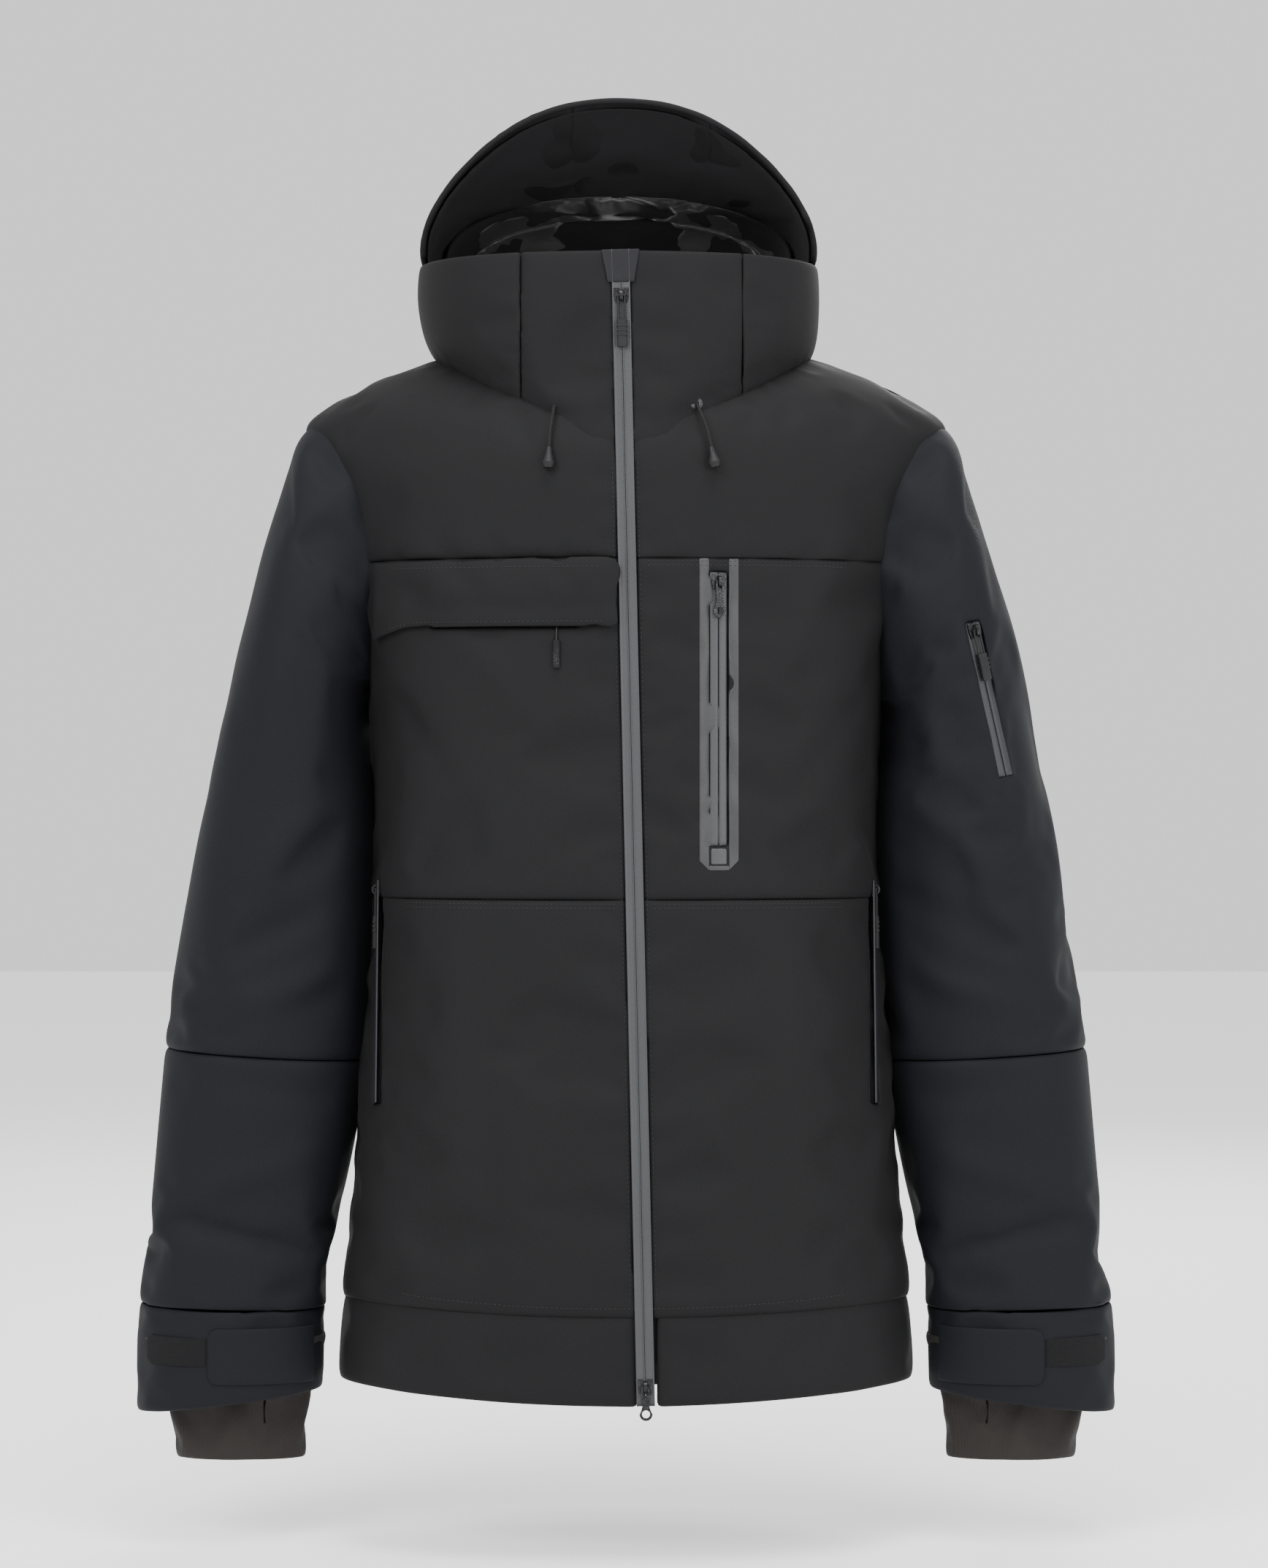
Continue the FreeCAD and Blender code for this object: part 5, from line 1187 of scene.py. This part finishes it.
# %% Drawcords and hanger loop
CORD_STEPS = {"right": [(0, -0.8, 0), (-0.6, -4.6, -4.4), (-1.8, -8.6, -11.5),
                        (-3.0, -11.4, -20.0), (-3.4, -12.6, -29.5)],
              "left": [(0, -0.8, 0), (1.6, -4.6, -4.2), (4.4, -8.6, -11.0),
                       (7.4, -11.4, -19.5), (9.4, -12.6, -29.5)]}
for side, sign, length in (("right", -1.0, 0.0326), ("left", 1.0, 0.0339)):
    end_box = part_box("drawcord_" + side)
    start = Vector((sign * 0.047, end_box[1].y + 0.8 * MM, -0.035))
    route = [start + Vector(step) * MM for step in CORD_STEPS[side]]
    curve = bpy.data.curves.new("drawcord_%s_braid" % side, "CURVE")
    curve.dimensions = "3D"
    curve.bevel_depth = 1.1 * MM
    curve.bevel_resolution = 4
    curve.use_fill_caps = True
    spline = curve.splines.new("NURBS")
    spline.points.add(len(route) - 1)
    for point, at in zip(spline.points, route):
        point.co = (*at, 1.0)
    spline.order_u = 3
    spline.use_endpoint_u = True
    curve.materials.append(BRAID)
    cord = bpy.data.objects.new("drawcord_%s_braid" % side, curve)
    SCENE.collection.objects.link(cord)
    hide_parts("drawcord_" + side)
    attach(cord, "jacket")
loop_low, loop_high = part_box("hanger_loop")
bm = bmesh.new()
rows = []
for i in range(33):
    turn = math.pi * i / 32
    at = Vector((0.0175 * math.cos(turn), loop_low.y + 0.0012, 0.008 - 0.0175 * math.sin(turn)))
    radial = Vector((math.cos(turn), 0, -math.sin(turn)))
    rows.append([bm.verts.new(at + radial * r * MM) for r in (-2.4, -1.2, 0.0, 1.2, 2.4)])
for side, x in ((0, 0.0175), (-1, -0.0175)):
    ends = []
    for rise in (2.4, 4.6):
        outward = 1 if x > 0 else -1
        ends.append([bm.verts.new(Vector((x + r * MM * outward, loop_low.y + 0.0012 + rise * 0.9 * MM,
                                          0.008 + rise * MM))) for r in (-2.4, -1.2, 0.0, 1.2, 2.4)])
    chain = [rows[side]] + ends
    for low, high in zip(chain, chain[1:]):
        for k in range(4):
            bm.faces.new([low[k], low[k + 1], high[k + 1], high[k]])
for low, high in zip(rows, rows[1:]):
    for k in range(4):
        bm.faces.new([low[k], low[k + 1], high[k + 1], high[k]])
bmesh.ops.recalc_face_normals(bm, faces=bm.faces)
obj = mesh_object("hanger_loop_tape", bm, DARK_TAPE)
body = obj.modifiers.new("wall", "SOLIDIFY")
body.thickness, body.offset = 1.2 * MM, 0.0
bake(obj)
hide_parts("hanger_loop")
PLACE[obj.name] = (None, "jacket")
print("cords and loop made")

# %% Stitches
def stitch_row(points, tree, pitch=3.2, long=2.1, thick=0.32):
    """Capsules of thread along a line of points dropped on the cloth."""
    length = [0.0]
    for a, b in zip(points, points[1:]):
        length.append(length[-1] + (b - a).length)
    out = []
    at = pitch * MM
    while at < length[-1]:
        k = max(i for i, run in enumerate(length) if run <= at)
        k = min(k, len(points) - 2)
        share = (at - length[k]) / max(length[k + 1] - length[k], 1e-9)
        spot = points[k].lerp(points[k + 1], share)
        hit, normal, index, distance = tree.find_nearest(spot)
        if hit is not None and distance < 0.02:
            if normal.dot(hit - Vector((hit.x * 0.6, 0.0, hit.z))) < 0 and abs(hit.y) > 0.01:
                normal = -normal if normal.y * hit.y < 0 else normal
            out.append((hit, (points[k + 1] - points[k]).normalized(), normal, long * MM / 2, thick * MM))
        at += pitch * MM
    return out


def thread_mesh(name, stitches, material):
    """All the stitches of one part as one mesh."""
    bm = bmesh.new()
    for at, along, normal, half, thick in stitches:
        side = along.cross(normal).normalized() * thick
        rise = normal.normalized() * thick
        loops = []
        for reach, size in ((-1.0, 0.25), (-0.75, 0.9), (0.0, 1.1), (0.75, 0.9), (1.0, 0.25)):
            middle = at + along * half * reach + rise * (0.1 if abs(reach) < 1 else -0.5)
            loops.append([bm.verts.new(middle + (side * math.cos(a) + rise * math.sin(a)) * size)
                          for a in (0, math.pi / 3, 2 * math.pi / 3,
                                    math.pi, 4 * math.pi / 3, 5 * math.pi / 3)])
        for low, high in zip(loops, loops[1:]):
            for k in range(6):
                bm.faces.new([low[k - 1], low[k], high[k], high[k - 1]])
        bm.faces.new(loops[0])
        bm.faces.new(loops[-1][::-1])
    bmesh.ops.recalc_face_normals(bm, faces=bm.faces)
    obj = mesh_object(name, bm, material)
    obj.data.shade_smooth()
    return obj


def level_line(tree, z, x0, x1, step=8.0):
    """Points on the front cloth at one height."""
    out = []
    for x in np.arange(x0, x1 + 0.1, step):
        hit = tree.ray_cast(Vector((x * MM, -0.4, z(x) * MM if callable(z) else z * MM)), Vector((0, 1, 0)))[0]
        if hit is not None:
            out.append(hit)
    return out


def upright_line(tree, x, z0, z1, step=8.0):
    out = []
    for z in np.arange(z0, z1 - 0.1, -step):
        hit = tree.ray_cast(Vector(((x(z) if callable(x) else x) * MM, -0.4, z * MM)), Vector((0, 1, 0)))[0]
        if hit is not None:
            out.append(hit)
    return out


def zip_x(z):
    return MAIN_MM[0] + (66.0 - z) * 0.022169


ZIP_STITCH_GAP = 8.4                   # mm from the zip's middle to the stitches beside it
stitches = []
for shift in (-2.6, -5.4):
    stitches += stitch_row(level_line(front_tree, -137 + shift, -150, -8), front_tree)
    stitches += stitch_row(level_line(front_tree, -137 + shift, 12, 150), front_tree)
    stitches += stitch_row(level_line(front_tree, -363 + shift, -150, -3), front_tree)
    stitches += stitch_row(level_line(front_tree, -363 + shift, 16, 150), front_tree)
for side in (-1.0, 1.0):
    stitches += stitch_row(upright_line(front_tree, lambda z: zip_x(z) + side * ZIP_STITCH_GAP, -66, -632),
                           front_tree)
stitches += stitch_row(level_line(front_tree, lambda x: -631 + 11 * (x / 197) ** 2, -150, 150), front_tree)
obj = thread_mesh("front_topstitching", stitches, THREAD)
PLACE[obj.name] = (None, "jacket")
flap_tree = cloth_tree("chest_flap_cloth")
sewn = stitch_row(level_line(flap_tree, -143.5, -160, -10), flap_tree)
sewn += stitch_row(level_line(flap_tree, lambda x: -179.4 if x > -144 else -179.4 + (x + 144) * 0.27,
                              -160, -10), flap_tree)
obj = thread_mesh("flap_topstitching", sewn, THREAD)
PLACE[obj.name] = (None, "chest_flap")
print("stitches:", len(stitches) + len(sewn))

# %% [markdown]
# ## Fixing pieces to their bodies
# The solids that the sewn cloth replaces are hidden.  Most pieces ride on their body; the sleeves'
# cloth, the hood's cloth and the chest flap are baked where they stand and fixed to no body.

# %% Hiding the replaced solids and riding on the bodies
for obj, made in WAITING:
    node, body = PLACE[obj.name]
    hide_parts(node)
for name, (node, body) in PLACE.items():
    obj = bpy.data.objects[name]
    sign = -1.0 if "right" in name else 1.0
    if name.startswith("sleeve_upper"):
        sign * 0.172
        sign * 0.2425
        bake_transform(obj)
    elif name.startswith("sleeve_lower"):
        "sleeve_" + body.split("_")[1]
        sign * 0.2475
        sign * 0.257
        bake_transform(obj)
    elif body == "hood":
        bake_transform(obj)
    elif name == "chest_flap_cloth":
        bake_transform(obj)
    else:
        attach(obj, body)
for obj in [o for o in SCENE.collection.all_objects if o.type == "MESH" and o.name in PLACE]:
    finish = obj.data.materials[0].name
SHEETS = [("body_lining_satin", 1.05, "hung", ["inner_collar_facing"]),
          ("wind_flap_cloth", 0.035, "hung", ["main_zip_tapes"]),
          ("inner_collar_facing", 0.70, "hung", ["collar_back_cloth"]),
          ("hood_lining_satin", 0.40, "gathered", ["hood_centre_cloth"]),
          ("brim_facing_cloth", 0.45, "hung", ["hood_centre_cloth"]),
          ("chest_flap_cloth", 0.160, "hung", ["front_chest_right_cloth"]),
          ("wrist_gaiter_left_jersey", 0.27, "hung", ["cuff_left_cloth"]),
          ("wrist_gaiter_right_jersey", 0.27, "hung", ["cuff_right_cloth"])]
for name, width, held, rests_on in SHEETS:
    obj = bpy.data.objects[name]
print("fixed", len(PLACE), "pieces to their bodies")

# %% Finishes for the hard pieces that keep their solids
HARD = {"top_slider": LACQUER, "hem_slider": LACQUER, "chest_slider": LACQUER, "flap_slider": LACQUER,
        "sleeve_slider": LACQUER, "hand_slider_left": LACQUER, "hand_slider_right": LACQUER, "hem_pull": LACQUER,
        "chest_pull": LACQUER, "top_pull": RUBBER, "sleeve_pull": RUBBER, "hand_pull_left": RUBBER,
        "hand_pull_right": RUBBER, "cord_end_left": RUBBER, "cord_end_right": RUBBER, "eyelets": LACQUER,
        "pocket_bags": SATIN}
for name, finish in HARD.items():
    node = frame["nodes"][name]
    meshes = [node] if node.type == "MESH" else [o for o in node.children_recursive if o.type == "MESH"]
    for solid in meshes:
        solid.data.materials.clear()
        solid.data.materials.append(finish)
print("hard pieces:", len(HARD))

# %% [markdown]
# ## The studio
# The jacket hangs over a white floor in white air.  Broad lamps model it softly: a key from the
# upper left, a weaker one from the right, one above that wakes the satin in the hood, and one behind.

# %% Floor, lamps, camera
white = Finish("studio_white", Roughness=0.9, Specular_IOR_Level=0.1, Emission_Strength=0.35)
white.wear("Emission Color", (1.0, 1.0, 1.0))
grain = white.noise(0.4, 2.0)
white.wear("Base Color", white.mixed(grain, (0.86, 0.86, 0.86), (0.90, 0.90, 0.90)))
bm = bmesh.new()
corners = [bm.verts.new((x, y, -0.80)) for x, y in ((-9, -9), (9, -9), (9, 9), (-9, 9))]
bm.faces.new(corners)
floor = mesh_object("studio_floor", bm, white.material)
lamps = []
for name, place, aim, size, power in (("key_lamp", (-1.5, -2.4, 1.5), (0, 0, -0.25), 1.6, 95.0),
                                      ("fill_lamp", (1.9, -2.2, 0.5), (0, 0, -0.3), 1.8, 55.0),
                                      ("top_lamp", (0.2, -0.7, 1.9), (0, 0, 0.0), 1.2, 50.0),
                                      ("back_lamp", (0.6, 2.4, 1.4), (0, 0, -0.2), 1.8, 60.0)):
    light = bpy.data.lights.new(name, "AREA")
    light.size = size
    light.energy = power
    lamp = bpy.data.objects.new(name, light)
    lamp.location = place
    lamp.rotation_euler = (Vector(aim) - Vector(place)).to_track_quat("-Z", "Y").to_euler()
    SCENE.collection.objects.link(lamp)
    lamps.append(lamp)
world = bpy.data.worlds.new("studio_air")
world.use_nodes = True
world.node_tree.nodes["Background"].inputs["Color"].default_value = (0.95, 0.95, 0.96, 1)
world.node_tree.nodes["Background"].inputs["Strength"].default_value = 1.15
SCENE.world = world
eye = bpy.data.cameras.new("front_view")
eye.sensor_width = 36.0
eye.lens = 100.65
eye.dof.use_dof = False
camera = bpy.data.objects.new("front_view", eye)
camera.location = (0.0055, -3.0, -0.2865)
camera.rotation_euler = (math.pi / 2, 0, 0)
SCENE.collection.objects.link(camera)
SCENE.camera = camera
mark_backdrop(floor, *lamps)
print("studio ready")

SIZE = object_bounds()
for title, box in (("frame box", CAD_BOX), ("scene box", SIZE)):
    print(title, [[round(v, 4) for v in corner] for corner in box])
